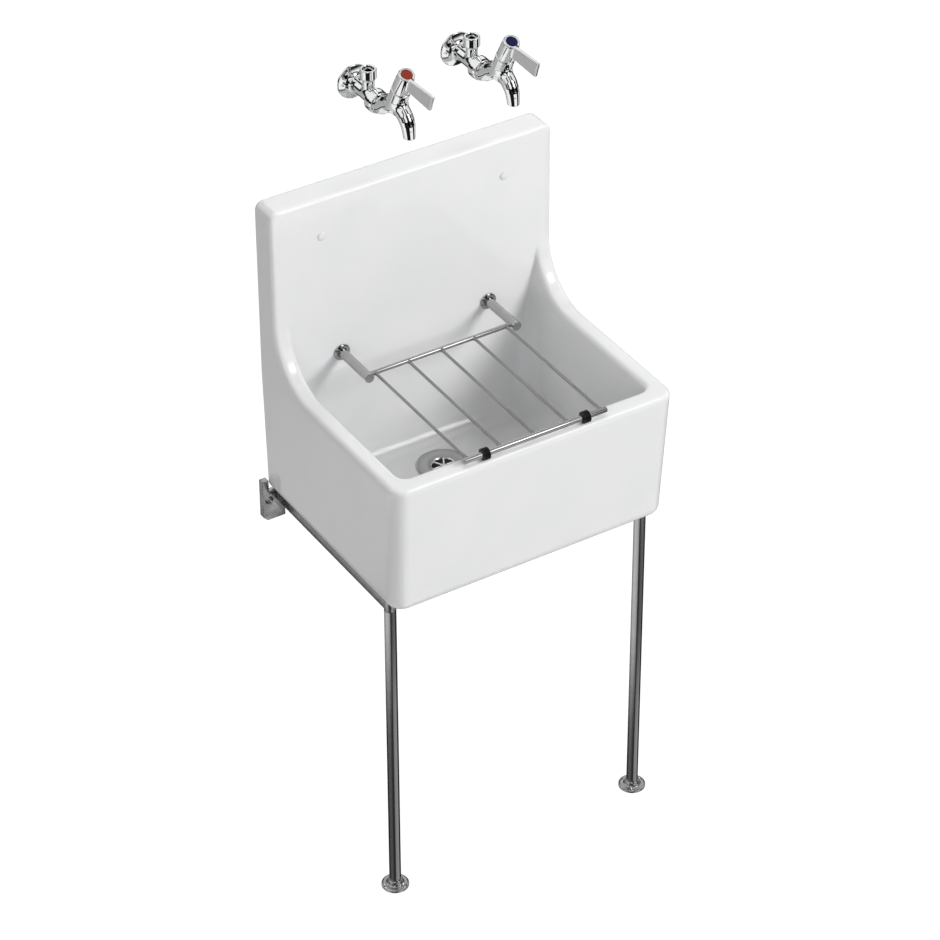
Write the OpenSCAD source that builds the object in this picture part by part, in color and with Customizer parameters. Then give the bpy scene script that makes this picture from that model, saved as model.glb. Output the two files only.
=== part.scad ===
// Utility laundry sink: fireclay bowl with a high upstand, hinged bucket grating,
// waste, bearers on front legs and a pair of lever bib taps on the wall.
// Origin on the wall, on the centre line, level with the rim of the bowl.
// X to the right, Y towards the wall, Z up, all in millimetres.

/* [Which piece] */
// Piece to draw, or all

/* [Sink] */
// Width over the rim
sink_w = 515; // [400:1:700]
// Width across the underside
sink_base_w = 505; // [390:1:700]
// Depth from the wall to the front of the rim
sink_d = 415; // [320:1:560]
// Depth across the underside
sink_base_d = 400; // [300:1:550]
// Height of the bowl below its rim
bowl_h = 245; // [150:1:350]
// Height of the upstand above the rim
upstand_h = 305; // [150:1:450]
// Thickness of the upstand and back wall
back_t = 50; // [35:1:80]
// Width of the side rims
side_rim = 30; // [22:0.5:50]
// Width of the front rim
front_rim = 33; // [22:0.5:50]
// Thickness of the bowl's floor
floor_t = 30; // [15:0.5:45]
// Radius of the upright front corners
corner_r = 26; // [18:0.5:50]
// Radius of the edges round the underside
base_round = 16; // [6:0.5:24]
// Radius of the rim's edges
rim_round = 8.5; // [3:0.5:12]
// Radius of the upstand's top corners
top_corner_r = 14; // [10:0.5:30]
// Radius of the swept shoulders
sweep_r = 100; // [60:1:150]
// Chamfer of the edges at the wall
wall_chamfer = 4; // [1:0.5:8]
// Radius of the bowl's front upright corners
bowl_corner_r = 18; // [12:0.5:40]
// Radius round the bowl's floor
bowl_floor_r = 34; // [15:0.5:60]
// Slope of the bowl's side walls, at the floor
side_draft = 9; // [0:0.5:25]
// Slope of the bowl's front wall, at the floor
front_draft = 8; // [0:0.5:25]
// Height above the rim where the back corner fillets start
fillet_rise = 67; // [30:1:90]

/* [Screw caps] */
// Distance between the caps
cap_span = 335; // [200:1:440]
// Height of the caps above the rim
cap_z = 238; // [120:1:290]
// Diameter of a cap
cap_d = 15; // [10:0.5:24]
// Height of a cap's dome
cap_dome = 2.6; // [1:0.1:5]
// Diameter of the screw hole behind a cap
cap_hole_d = 9; // [5:0.5:12]
// Depth of a cap's stub
cap_stub = 9; // [4:0.5:15]
// Wall of a cap's stub
cap_wall = 1; // [0.6:0.1:1.6]

/* [Waste] */
// Distance of the waste from the wall
waste_y = 134; // [110:1:250]
// Diameter of the waste flange
waste_d = 86; // [70:1:110]
// Thickness of the waste flange at its middle
waste_t = 3; // [1.5:0.1:5]
// Diameter of the waste's threaded tail
tail_d = 47.8; // [35:0.1:60]
// Bore of the waste's tail
tail_bore = 40; // [28:0.5:50]
// Length of the tail below the flange
tail_len = 74; // [50:1:110]
// Clearance round the tail in the bowl
tail_gap = 3.1; // [1:0.1:6]
// Thickness of the strainer wheel
wheel_t = 2.4; // [1:0.1:4]
// Diameter of the strainer's hub
hub_d = 9; // [5:0.5:16]
// Width of a strainer spoke
spoke_w = 3.2; // [1.5:0.1:6]
// Openings in the strainer
spokes = 6; // [4:1:9]
// Thickness of the foam seal under the flange
seal_t = 2; // [1:0.1:4]
// Thickness of the rubber washer above the backnut
back_washer_t = 3; // [1:0.1:6]
// Height of the backnut
backnut_h = 12; // [6:0.5:20]
// Width across the backnut's flats
backnut_af = 62; // [54:1:80]

/* [Grating] */
// Distance between the posts
post_span = 275; // [180:1:380]
// Diameter of a post
post_d = 16; // [12:0.5:24]
// Reach of the posts from the back wall
post_reach = 89; // [50:1:140]
// Diameter of a rose
rose_d = 29; // [22:0.5:45]
// Thickness of a rose
rose_t = 4; // [2:0.1:8]
// Distance from the hinge rod to the posts' ends
rod_inset = 11; // [7:0.5:20]
// Diameter of the hinge rod
rod_d = 8; // [5:0.5:12]
// Diameter of the grating's bars
bar_d = 5; // [3:0.5:8]
// Bars in the grating
bars = 5; // [3:1:9]
// Distance between the outer bars
bar_span = 245; // [120:1:260]
// Diameter of the front rail
rail_d = 10; // [6:0.5:14]
// Length of the front rail
rail_len = 262; // [160:1:360]
// Distance of the front rail from the front of the sink
rail_inset = 9; // [4:0.5:33]
// Diameter of the rubber rings
ring_d = 20; // [14:0.5:28]
// Width of a rubber ring
ring_w = 11; // [6:0.5:20]
// Distance between the rubber rings
ring_span = 184; // [100:1:230]
// Running clearance round the hinge rod
rod_gap = 0.05; // [0.02:0.01:0.1]
// Diameter of the studs that hold the posts
stud_d = 8; // [5:0.5:10]
// Width across the stud nuts
stud_af = 13; // [8:0.5:17]
// Height of a stud nut
stud_nut_h = 6.5; // [4:0.5:9]
// Diameter of the stud washers
stud_washer_d = 20; // [16:0.5:30]
// Thickness of the stud washers
stud_washer_t = 1.6; // [1:0.1:3]

/* [Bearers and legs] */
// Distance between the legs
leg_span = 472; // [300:1:560]
// Distance of the legs from the wall
leg_y = 356; // [250:1:460]
// Diameter of a leg tube
leg_d = 19.5; // [14:0.5:32]
// Wall of a leg tube
leg_wall = 1.5; // [0.8:0.1:3]
// Height of the rim above the floor
rim_height = 845; // [600:1:1000]
// Width of a bearer's wall plate
plate_w = 41; // [30:1:70]
// Height of a bearer's wall plate
plate_h = 79; // [50:1:120]
// Thickness of a bearer's wall plate
plate_t = 12; // [6:0.5:20]
// Outward overhang of a wall plate past the arm
plate_out = 26.5; // [18:0.5:45]
// Top of a wall plate below the rim
plate_top = 221; // [150:1:240]
// Width of a bearer's arm
arm_w = 15; // [10:0.5:25]
// Depth of a bearer's arm
arm_h = 21; // [12:0.5:40]
// Length of the spigot in the leg
spigot_len = 34; // [15:1:60]
// Clearance between spigot and leg
spigot_gap = 0.15; // [0.05:0.05:0.5]
// Diameter of the hole in a wall plate
plate_hole_d = 8.5; // [5:0.5:12]
// Diameter of its countersink
plate_sink_d = 15; // [9:0.5:22]
// Diameter of a foot
foot_d = 46; // [32:1:80]
// Thickness of a foot's flange
foot_t = 5; // [3:0.5:10]
// Height of a foot's collar
collar_h = 14; // [8:0.5:30]
// Diameter of a foot's collar at its top
collar_d = 25; // [20:0.5:40]
// Screw holes in a foot
foot_holes = 3; // [3:1:6]
// Diameter of the circle of foot holes
foot_pcd = 36; // [24:0.5:60]
// Diameter of a foot's screw holes
foot_hole_d = 4.5; // [3:0.1:7]
// Diameter of the set screw in a foot
set_screw_d = 5; // [3:0.5:8]

/* [Taps] */
// Distance between the taps
tap_span = 186; // [120:1:300]
// Offset of the pair from the centre line
tap_shift = 17; // [-60:1:60]
// Height of the taps' inlets above the rim
tap_z = 463; // [330:1:600]
// Diameter of a wall flange
flange_d = 58; // [44:1:80]
// Thickness of a wall flange
flange_t = 5.5; // [3:0.5:10]
// Screw holes in a flange
flange_holes = 3; // [2:1:6]
// Diameter of the circle of flange holes
flange_pcd = 42; // [32:0.5:64]
// Diameter of a flange's screw holes
flange_hole_d = 4.8; // [3:0.1:7]
// Diameter of the elbow's body
elbow_d = 24; // [18:0.5:34]
// Bore of the waterways
water_d = 14; // [8:0.5:18]
// Distance of the supply inlet from the wall
inlet_y = 47; // [36:0.5:80]
// Height of the supply inlet above the elbow's axis
inlet_h = 45; // [28:0.5:80]
// Diameter of the supply inlet
inlet_d = 26; // [20:0.5:34]
// Bore of the supply inlet's thread
inlet_bore = 18.6; // [12:0.1:24]
// Depth of the supply inlet's thread
inlet_depth = 15; // [8:0.5:25]
// Diameter of the neck below the inlet
neck_d = 19; // [16:0.5:30]
// Distance of the union's face from the wall
union_y = 62; // [50:0.5:100]
// Diameter of the union nut
union_d = 38; // [30:0.5:50]
// Length of the union nut
union_len = 20; // [12:0.5:30]
// Thickness of the union's washer
union_washer_t = 2; // [1:0.1:4]
// Distance of the barrel's foot from the wall
barrel_y = 128; // [100:0.5:160]
// Height of the barrel's foot above the inlet axis
barrel_z = 22; // [-10:0.5:30]
// Lean of the barrel towards the user, in degrees
lean = 26; // [0:1:45]
// Height along the barrel from its foot to the lever's foot
barrel_h = 39; // [30:0.5:80]
// Diameter of the barrel at its top
barrel_d = 31; // [24:0.5:40]
// Height of the lever's hub
hub_h = 37; // [24:0.5:60]
// Diameter of the hub at its top
hub_top_d = 26; // [20:0.5:34]
// Diameter of the index disc
index_d = 18.5; // [12:0.5:26]
// Thickness of the index disc
index_t = 1.6; // [1:0.1:3]
// Reach of the lever from the hub's axis
lever_reach = 80; // [50:1:130]
// Height of the lever's blade at its end
lever_h = 27.5; // [14:0.5:40]
// Height of the lever's blade at its root
lever_root_h = 19.5; // [12:0.5:36]
// Thickness of the blade at its root
blade_t = 8; // [4:0.1:12]
// Thickness of the blade at its end
blade_end_t = 5.5; // [3:0.1:10]
// Diameter of the spout at its end
spout_d = 19.5; // [14:0.5:26]
// Gap between the lever's foot and the barrel
lever_gap = 0.4; // [0.2:0.05:1]
// Diameter of the headwork
head_d = 21; // [16:0.5:24]
// Diameter of the spindle
spindle_d = 8; // [6:0.5:12]
// Clearance round the spindle
spindle_gap = 0.05; // [0.02:0.01:0.1]

/* [Hidden] */
fine = 96;
mid = 48;
coarse = 32;
// Overrun of every cut
over = 1;
// Clearance of pieces that seat on a curved face
seat = 0.3;

// Sink, worked out
half_w = sink_w / 2;
base_half_w = sink_base_w / 2;
bowl_half_w = half_w - side_rim;
bowl_front = sink_d - front_rim;
floor_z = floor_t - bowl_h;
sweep_y = back_t + sweep_r;
// Height of the straight band under the rim
band_h = rim_round * 1.4;
// Foot of the fillets in the bowl's back corners
back_fillet_r = bowl_floor_r * 1.15;
tip_r = wall_chamfer / 4;
bowl_top = fillet_rise + tip_r;

// Waste, worked out
flange_seat_z = floor_z - seal_t;
tail_r = tail_d / 2;
tail_top = flange_seat_z + seal_t;
under_z = -bowl_h;
waste_rebate_d = waste_d + tail_gap * 2;

// Grating, worked out
post_x = post_span / 2;
post_end_y = -(back_t + post_reach);
grate_z = ring_d / 2 + seat;
rod_y = post_end_y + rod_inset;
rail_y = sink_d - rail_inset;
rod_half = post_x - seat;
bar_plug = bar_d / 2;
plug_gap = seat / 2;
stud_hole_d = stud_d + seat * 4;
stud_pocket_d = stud_washer_d + seat * 8;
stud_pocket = stud_nut_h + stud_washer_t + seat * 20;
stud_bite = post_d * 1.5;

// Bearers, worked out
leg_x = leg_span / 2;
arm_top = -bowl_h;
arm_low = arm_top - arm_h;
plate_outer = leg_x + arm_w / 2 + plate_out;
plate_inner = plate_outer - plate_w;
plate_hole_x = plate_outer - plate_sink_d * 0.8;
plate_hole_z = -(plate_top + plate_h / 2);
plate_notch = max(0, half_w - plate_inner) + seat;
arm_flare = plate_t * 0.8;
floor_level = -rim_height;
foot_cup = floor_level + foot_t / 2;
leg_bore_d = leg_d - leg_wall * 2;
socket_d = leg_d + seat;
foot_set_z = floor_level + collar_h * 0.62;

// Taps, worked out: the barrel's axis leans in the plane of the tap
hot_x = tap_shift - tap_span / 2;
cold_x = tap_shift + tap_span / 2;
hub_foot = barrel_h + lever_gap;
hub_top = hub_foot + hub_h;
hub_foot_d = barrel_d - lever_gap * 2;
head_foot = barrel_h * 0.36;
head_neck_d = head_d * 0.68;
head_neck = hub_h * 0.24;
hub_cup_d = head_d + seat * 4;
hub_cup = hub_h * 0.34;
spindle_foot = head_foot + seat;
spindle_top = hub_foot + hub_h * 0.72;
screw_d = spindle_d / 2;
screw_head_d = spindle_d * 0.95;
screw_head_h = screw_d * 0.6;
index_foot = hub_top - index_t;
screw_seat = index_foot - screw_head_h - seat;
// The union: rear lip, collar of the elbow, washer, tail of the tap
lip_t = union_len * 0.15;
collar_y = union_y + lip_t;
collar_t = lip_t;
collar_rim_d = union_d * 0.78;
washer_y = collar_y + collar_t;
tail_y = washer_y + union_washer_t;
tap_tail_len = union_len * 0.62;
nut_bore_d = collar_rim_d + seat * 2;

// First hole of a wall flange, as an angle from the right
flange_first = 54;
// Centre line of the body and spout: shares of the way from the tail to the barrel's foot,
// then of the way on to the spout's end, with each point's radius as a share of the spout's
spout_out = barrel_y * 0.3;
spout_drop = barrel_z * 1.75;
rise_shares = [[0, 0, 1.47], [0.12, 0.05, 1.47], [0.27, 0.26, 1.47], [0.5, 0.66, 1.44],
    [0.76, 0.93, 1.41], [1, 1, 1.4]];
fall_shares = [[0.22, -0.02, 1.36], [0.42, 0.03, 1.33], [0.58, 0.1, 1.3], [0.72, 0.2, 1.27],
    [0.84, 0.34, 1.22], [0.92, 0.5, 1.16], [0.97, 0.68, 1.09], [1, 0.86, 1.03], [1.015, 1, 1]];
body_start = tail_y + tap_tail_len;
body_path = concat(
    [for (s = rise_shares) [-body_start - (barrel_y - body_start) * s[0], barrel_z * s[1]]],
    [for (s = fall_shares) [-barrel_y - spout_out * s[0], barrel_z - spout_drop * s[1]]]);
body_radii = [for (s = concat(rise_shares, fall_shares)) spout_d / 2 * s[2]];
spout_wall = spout_d * 0.12;
water_path = concat([[-tail_y + over, 0]], body_path,
    [body_path[len(body_path) - 1] - [0, over]]);
water_radii = concat([water_d / 2], [for (r = body_radii) min(water_d / 2, r - spout_wall)],
    [spout_d / 2 - spout_wall]);

// Helpers
// Region outside a rounded edge: corner at the origin, material towards -x and -y
module edge_waste(r) {
    difference() {
        translate([-r, -r]) square([r + over, r + over]);
        translate([-r, -r]) circle(r, $fn = mid);
    }
}

// Straight cutter for a rounded edge along +x from a to b at y, z; side +1 or -1 in y
module edge_cut_x(a, b, y, z, side) {
    translate([a, y, z]) rotate([90, 0, 90]) linear_extrude(b - a)
        mirror([side > 0 ? 0 : 1, 0]) edge_waste(rim_round);
}

// Straight cutter along y from a to b at x, z; side +1 or -1 in x
module edge_cut_y(a, b, x, z, side) {
    translate([x, b, z]) rotate([90, 0, 0]) linear_extrude(b - a)
        mirror([side > 0 ? 0 : 1, 0]) edge_waste(rim_round);
}

// Both hands of something drawn on the right
module both() {
    children();
    mirror([1, 0, 0]) children();
}

// Rings of a tube along a path in the y-z plane, one radius at each point
function ring(p, d, r, n) = [for (i = [0 : n - 1])
    let (a = 360 * i / n) [r * cos(a), p[0] - r * sin(a) * d[1], p[1] + r * sin(a) * d[0]]];
function heading(path, i) = let (
    a = path[max(i - 1, 0)], b = path[min(i + 1, len(path) - 1)], v = b - a) v / norm(v);
function tube_points(path, radii, n) = [for (i = [0 : len(path) - 1])
    each ring(path[i], heading(path, i), radii[i], n)];
function tube_faces(k, n) = concat(
    [[for (i = [n - 1 : -1 : 0]) i]],
    [for (j = [0 : k - 2], i = [0 : n - 1]) let (a = j * n + i, b = j * n + (i + 1) % n)
        each [[a, b, a + n], [b, b + n, a + n]]],
    [[for (i = [0 : n - 1]) (k - 1) * n + i]]);
module tube(path, radii, n) {
    polyhedron(tube_points(path, radii, n), tube_faces(len(path), n), convexity = 4);
}

// Sink
// Outline of the rim
module rim_plan() {
    both() translate([half_w - corner_r, corner_r - sink_d]) circle(corner_r, $fn = mid);
    translate([corner_r - half_w, -sink_d]) square([sink_w - corner_r * 2, sink_d]);
    translate([-half_w, corner_r - sink_d]) square([sink_w, sink_d - corner_r]);
}

// Block: a straight band under the rim, then sides that lean in to the rounded underside
module bowl_block() {
    low_corner_r = corner_r + seat;
    translate([0, 0, -band_h]) linear_extrude(band_h) rim_plan();
    hull() {
        both() translate([half_w - low_corner_r, low_corner_r - sink_d, -band_h * 1.5])
            cylinder(h = band_h / 2, r = low_corner_r, $fn = mid);
        translate([-half_w, -back_t, -band_h * 1.5]) cube([sink_w, back_t, band_h / 2]);
        both() translate([base_half_w - corner_r, corner_r - sink_base_d, base_round - bowl_h])
            rotate_extrude($fn = mid) intersection() {
                translate([corner_r - base_round, 0]) circle(base_round, $fn = coarse);
                translate([0, -corner_r]) square([corner_r, corner_r * 2]);
            }
        both() translate([base_half_w - base_round, 0, base_round - bowl_h])
            rotate([90, 0, 0]) cylinder(h = back_t, r = base_round, $fn = coarse);
    }
}

// Upstand, its edges cut by the same rounding as the rim
module upstand() {
    top_z = upstand_h - top_corner_r;
    difference() {
        translate([0, 0, -rim_round]) rotate([90, 0, 0]) linear_extrude(back_t) union() {
            translate([-half_w, 0]) square([sink_w, top_z + rim_round]);
            translate([top_corner_r - half_w, 0])
                square([sink_w - top_corner_r * 2, upstand_h + rim_round]);
            both() translate([half_w - top_corner_r, top_z + rim_round])
                circle(top_corner_r, $fn = mid);
        }
        // front edges, upright
        both() translate([half_w, -back_t, sweep_r]) mirror([0, 1, 0])
            linear_extrude(top_z - sweep_r) edge_waste(rim_round);
        // front edge along the top
        edge_cut_x(top_corner_r - half_w, half_w - top_corner_r, -back_t, upstand_h, -1);
        // front edge round the top corners
        both() translate([half_w - top_corner_r, -back_t, top_z]) rotate([90, 0, 0])
            rotate_extrude(angle = 90, $fn = mid)
                translate([top_corner_r, 0]) edge_waste(rim_round);
    }
}

// Quarter turn about the axis of the shoulder's sweep, of something drawn on the right
module sweep_turn() {
    translate([0, -sweep_y, sweep_r]) rotate([0, 90, 0])
        rotate_extrude(angle = 90, $fn = fine) children();
}

// Bowl with its shoulders, where the side rims sweep up to the upstand's face
module swept_bowl() {
    difference() {
        union() {
            bowl_block();
            both() translate([bowl_half_w, -sweep_y, -rim_round])
                cube([side_rim, sweep_r + rim_round, sweep_r + rim_round]);
        }
        both() sweep_turn() {
            translate([0, bowl_half_w - over]) square([sweep_r, side_rim + over * 2]);
            translate([sweep_r, bowl_half_w]) mirror([1, 0]) mirror([0, 1])
                edge_waste(rim_round);
        }
    }
}

// Hollow of the bowl, its walls leaning in towards the floor
module bowl_hollow() {
    side = bowl_half_w - side_draft;
    front = bowl_front - front_draft;
    low_corner_r = bowl_corner_r + seat;
    // straight band inside the rim
    translate([0, 0, -band_h]) linear_extrude(band_h + over) {
        both() translate([bowl_half_w - bowl_corner_r, bowl_corner_r - bowl_front])
            circle(bowl_corner_r, $fn = mid);
        translate([bowl_corner_r - bowl_half_w, -bowl_front])
            square([(bowl_half_w - bowl_corner_r) * 2, bowl_front - sweep_y]);
        translate([-bowl_half_w, bowl_corner_r - bowl_front])
            square([bowl_half_w * 2, bowl_front - bowl_corner_r - sweep_y]);
    }
    hull() {
        both() translate([bowl_half_w - low_corner_r, low_corner_r - bowl_front, -band_h])
            cylinder(h = band_h + bowl_top, r = low_corner_r, $fn = mid);
        both() translate([bowl_half_w - tip_r, -back_t - tip_r, -band_h])
            cylinder(h = band_h + bowl_top, r = tip_r, $fn = coarse);
        both() translate([side - bowl_floor_r, bowl_floor_r - front, floor_z + bowl_floor_r])
            full_ball(bowl_floor_r);
        both() translate([side - back_fillet_r, -back_t - back_fillet_r, floor_z + back_fillet_r])
            full_ball(back_fillet_r);
    }
}

// Sphere of flat faces that reaches its full radius along each axis
module full_ball(r) {
    sphere(r / cos(180 / mid), $fn = mid);
}

module sink_body() {
    color("white") difference() {
        union() {
            swept_bowl();
            upstand();
            // stock for the fillets in the back corners, above the rim
            both() translate([bowl_half_w - back_fillet_r / 2, -back_t - back_fillet_r / 2, -rim_round])
                cube([back_fillet_r / 2 + rim_round, back_fillet_r / 2 + rim_round,
                    bowl_top + rim_round]);
        }
        bowl_hollow();
        // rim, outer edges
        edge_cut_x(corner_r - half_w, half_w - corner_r, -sink_d, 0, -1);
        both() edge_cut_y(corner_r - sink_d, -sweep_y, half_w, 0, 1);
        both() translate([half_w - corner_r, corner_r - sink_d, 0]) rotate([0, 0, -90])
            rotate_extrude(angle = 90, $fn = mid)
                translate([corner_r, 0]) edge_waste(rim_round);
        both() sweep_turn() translate([sweep_r, half_w]) mirror([1, 0]) edge_waste(rim_round);
        // rim, inner edges
        edge_cut_x(bowl_corner_r - bowl_half_w, bowl_half_w - bowl_corner_r, -bowl_front, 0, 1);
        both() edge_cut_y(bowl_corner_r - bowl_front, -sweep_y, bowl_half_w, 0, -1);
        both() translate([bowl_half_w - bowl_corner_r, bowl_corner_r - bowl_front, 0])
            rotate([0, 0, -90]) rotate_extrude(angle = 90, $fn = mid)
                translate([bowl_corner_r, 0]) mirror([1, 0]) edge_waste(rim_round);
        // chamfers at the wall
        both() translate([half_w, 0, -bowl_h - over]) linear_extrude(bowl_h + upstand_h + over * 2)
            polygon([[over, -wall_chamfer - over], [over, over], [-wall_chamfer - over, over]]);
        // waste hole and the rebate for its flange
        translate([0, -waste_y, under_z - over])
            cylinder(h = bowl_h, d = tail_d + tail_gap * 2, $fn = fine);
        translate([0, -waste_y, flange_seat_z])
            cylinder(h = floor_t, d = waste_rebate_d, $fn = fine);
        // screw holes behind the caps
        both() translate([cap_span / 2, over, cap_z]) rotate([90, 0, 0])
            cylinder(h = back_t + over * 2, d = cap_hole_d, $fn = mid);
        // stud holes of the posts, with pockets for their nuts at the wall
        both() translate([post_x, over, grate_z]) rotate([90, 0, 0]) {
            cylinder(h = back_t + over * 2, d = stud_hole_d, $fn = mid);
            cylinder(h = stud_pocket + over, d = stud_pocket_d, $fn = mid);
        }
    }
}

module screw_caps() {
    dome_r = (cap_dome * cap_dome + cap_d * cap_d / 4) / (cap_dome * 2);
    color("white") both() translate([cap_span / 2, -back_t, cap_z]) rotate([90, 0, 0]) {
        intersection() {
            translate([0, 0, cap_dome - dome_r]) sphere(dome_r, $fn = fine);
            cylinder(h = cap_dome, d = cap_d, $fn = mid);
        }
        translate([0, 0, -cap_stub]) difference() {
            cylinder(h = cap_stub, d = cap_hole_d - seat, $fn = mid);
            translate([0, 0, -over])
                cylinder(h = cap_stub, d = cap_hole_d - seat - cap_wall * 2, $fn = mid);
        }
    }
}

// Waste: flange, strainer wheel and threaded tail in one casting
module waste_flange() {
    rim_t = waste_t * 0.4;
    dish = waste_t * 0.8;
    wheel_z = waste_t - dish - wheel_t;
    color("silver") translate([0, -waste_y, tail_top]) {
        rotate_extrude($fn = fine) polygon([
            [tail_bore / 2, -tail_len], [tail_r, -tail_len], [tail_r, 0],
            [waste_d / 2, 0], [waste_d / 2, rim_t],
            [waste_d / 2 - rim_t, waste_t * 0.8], [waste_d / 2 - waste_t * 2, waste_t],
            [tail_r + waste_t, waste_t], [tail_bore / 2, waste_t - dish]]);
        intersection() {
            translate([0, 0, wheel_z]) cylinder(h = wheel_t, d = tail_bore + rim_t, $fn = fine);
            union() {
                cylinder(h = waste_t, d = hub_d, center = true, $fn = mid);
                translate([0, 0, wheel_z]) cylinder(h = wheel_t, d = hub_d, $fn = mid);
                for (i = [0 : spokes - 1]) rotate([0, 0, i * 360 / spokes])
                    translate([0, -spoke_w / 2, wheel_z]) cube([tail_r, spoke_w, wheel_t]);
            }
        }
    }
}

// Flat ring about the waste's axis, its foot at z
module waste_ring(z, h, outer, inner) {
    translate([0, -waste_y, z]) difference() {
        cylinder(h = h, d = outer, $fn = fine);
        translate([0, 0, -over]) cylinder(h = h + over * 2, d = inner, $fn = fine);
    }
}

module waste_seal() {
    color("white") waste_ring(flange_seat_z, seal_t, waste_d - seal_t * 2, tail_d + tail_gap * 2);
}

module waste_washer() {
    color("black") waste_ring(under_z - back_washer_t, back_washer_t, backnut_af, tail_d + seat * 2);
}

module waste_backnut() {
    nut_z = under_z - back_washer_t - backnut_h;
    color("silver") translate([0, -waste_y, nut_z]) difference() {
        intersection() {
            cylinder(h = backnut_h, d = backnut_af / cos(30), $fn = 6);
            cylinder(h = backnut_h, d1 = backnut_af * 1.04, d2 = backnut_af * 1.4, $fn = fine);
        }
        translate([0, 0, -over]) cylinder(h = backnut_h + over * 2, d = tail_d + seat, $fn = fine);
    }
}

// Bearers and legs, drawn on the right
module bearer() {
    low = -(plate_top + plate_h);
    cut = plate_h * 0.1;
    color("silver") difference() {
        union() {
            rotate([90, 0, 0]) linear_extrude(plate_t) difference() {
                polygon([[plate_inner, low], [plate_outer - cut, low], [plate_outer, low + cut],
                    [plate_outer, -plate_top], [plate_inner, -plate_top]]);
                translate([plate_inner - over, arm_top])
                    square([plate_notch + over, bowl_h]);
            }
            translate([leg_x - arm_w / 2, -leg_y, arm_low]) cube([arm_w, leg_y, arm_h]);
            translate([leg_x, -leg_y, arm_low]) cylinder(h = arm_h, d = leg_d, $fn = mid);
            translate([leg_x, -leg_y, arm_low - spigot_len])
                cylinder(h = spigot_len + arm_h / 2, d = leg_bore_d - spigot_gap * 2, $fn = mid);
            // fillet between the arm and the plate
            translate([leg_x + arm_w / 2 - seat, -plate_t - arm_flare, arm_low]) difference() {
                cube([arm_flare + seat, arm_flare + seat, arm_h]);
                translate([arm_flare + seat, 0, -over])
                    cylinder(h = arm_h + over * 2, r = arm_flare, $fn = mid);
            }
        }
        translate([plate_hole_x, over, plate_hole_z]) rotate([90, 0, 0])
            cylinder(h = plate_t + over * 2, d = plate_hole_d, $fn = mid);
        translate([plate_hole_x, -plate_t - over, plate_hole_z]) rotate([-90, 0, 0])
            cylinder(h = over + (plate_sink_d - plate_hole_d) / 2, d1 = plate_sink_d + over * 2,
                d2 = plate_hole_d, $fn = mid);
    }
}

module leg() {
    color("silver") translate([leg_x, -leg_y, foot_cup]) difference() {
        cylinder(h = arm_low - foot_cup, d = leg_d, $fn = mid);
        translate([0, 0, -over])
            cylinder(h = arm_low - foot_cup + over * 2, d = leg_bore_d, $fn = mid);
    }
}

// Foot: flange with a coned collar round the leg, its set screw to the front
module foot() {
    wall_low = (collar_d - socket_d) / 2;
    color("silver") translate([leg_x, -leg_y, floor_level]) difference() {
        rotate_extrude($fn = fine) polygon([
            [0, 0], [foot_d / 2, 0], [foot_d / 2, foot_t * 0.6],
            [foot_d / 2 - foot_t * 0.3, foot_t * 0.85], [foot_d / 2 - foot_t * 0.8, foot_t],
            [collar_d / 2 + wall_low, foot_t], [collar_d / 2 + wall_low / 3, foot_t * 1.5],
            [collar_d / 2, collar_h - wall_low / 2], [collar_d / 2 - wall_low / 2, collar_h],
            [0, collar_h]]);
        translate([0, 0, foot_cup - floor_level]) cylinder(h = collar_h, d = socket_d, $fn = mid);
        for (i = [0 : foot_holes - 1]) rotate([0, 0, i * 360 / foot_holes])
            translate([foot_pcd / 2, 0, 0]) {
                translate([0, 0, -over])
                    cylinder(h = foot_t + over * 2, d = foot_hole_d, $fn = coarse);
                translate([0, 0, foot_t * 0.55])
                    cylinder(h = foot_t, d1 = foot_hole_d, d2 = foot_hole_d + foot_t * 2,
                        $fn = coarse);
            }
        translate([0, -socket_d / 3, foot_set_z - floor_level]) rotate([90, 0, 0])
            cylinder(h = foot_d, d = set_screw_d + seat, $fn = coarse);
    }
}

module foot_set_screws() {
    far = collar_d / 2 + set_screw_d / 5;
    color("dimgray") both() translate([leg_x, -leg_y, foot_set_z]) rotate([90, 0, 0]) difference() {
        translate([0, 0, leg_d / 2 + seat / 2])
            cylinder(h = far - leg_d / 2, d = set_screw_d, $fn = coarse);
        translate([0, 0, far - set_screw_d / 4])
            cylinder(h = set_screw_d, d = set_screw_d / 2, $fn = 6);
    }
}

// Grating
module roses() {
    lip = rose_t * 0.4;
    color("silver") both() translate([post_x, -back_t, grate_z]) rotate([90, 0, 0])
        rotate_extrude($fn = fine) union() {
            translate([post_d / 2 + seat / 2, 0])
                square([(rose_d - post_d - seat) / 2, rose_t - lip]);
            translate([post_d / 2 + seat / 2, 0])
                square([(rose_d - post_d - seat) / 2 - lip, rose_t]);
            translate([rose_d / 2 - lip, rose_t - lip]) circle(lip, $fn = coarse);
        }
}

module post() {
    tip = post_d / 16;
    color("silver") translate([post_x, -back_t, grate_z]) difference() {
        rotate([90, 0, 0]) {
            cylinder(h = post_reach - tip, d = post_d, $fn = mid);
            translate([0, 0, post_reach - tip])
                cylinder(h = tip, d1 = post_d, d2 = post_d - tip * 2, $fn = mid);
        }
        // hinge bore from the inner side
        translate([0, rod_y + back_t, 0]) rotate([0, -90, 0])
            cylinder(h = post_d, d = rod_d + rod_gap * 2, $fn = mid);
        // bore for the stud
        translate([0, over, 0]) rotate([90, 0, 0])
            cylinder(h = stud_bite + over + seat, d = stud_d + seat, $fn = mid);
    }
}

module post_studs() {
    out = stud_pocket / 4;
    color("silver") both() translate([post_x, -out, grate_z]) rotate([90, 0, 0])
        cylinder(h = back_t + stud_bite - out, d = stud_d, $fn = mid);
}

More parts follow.
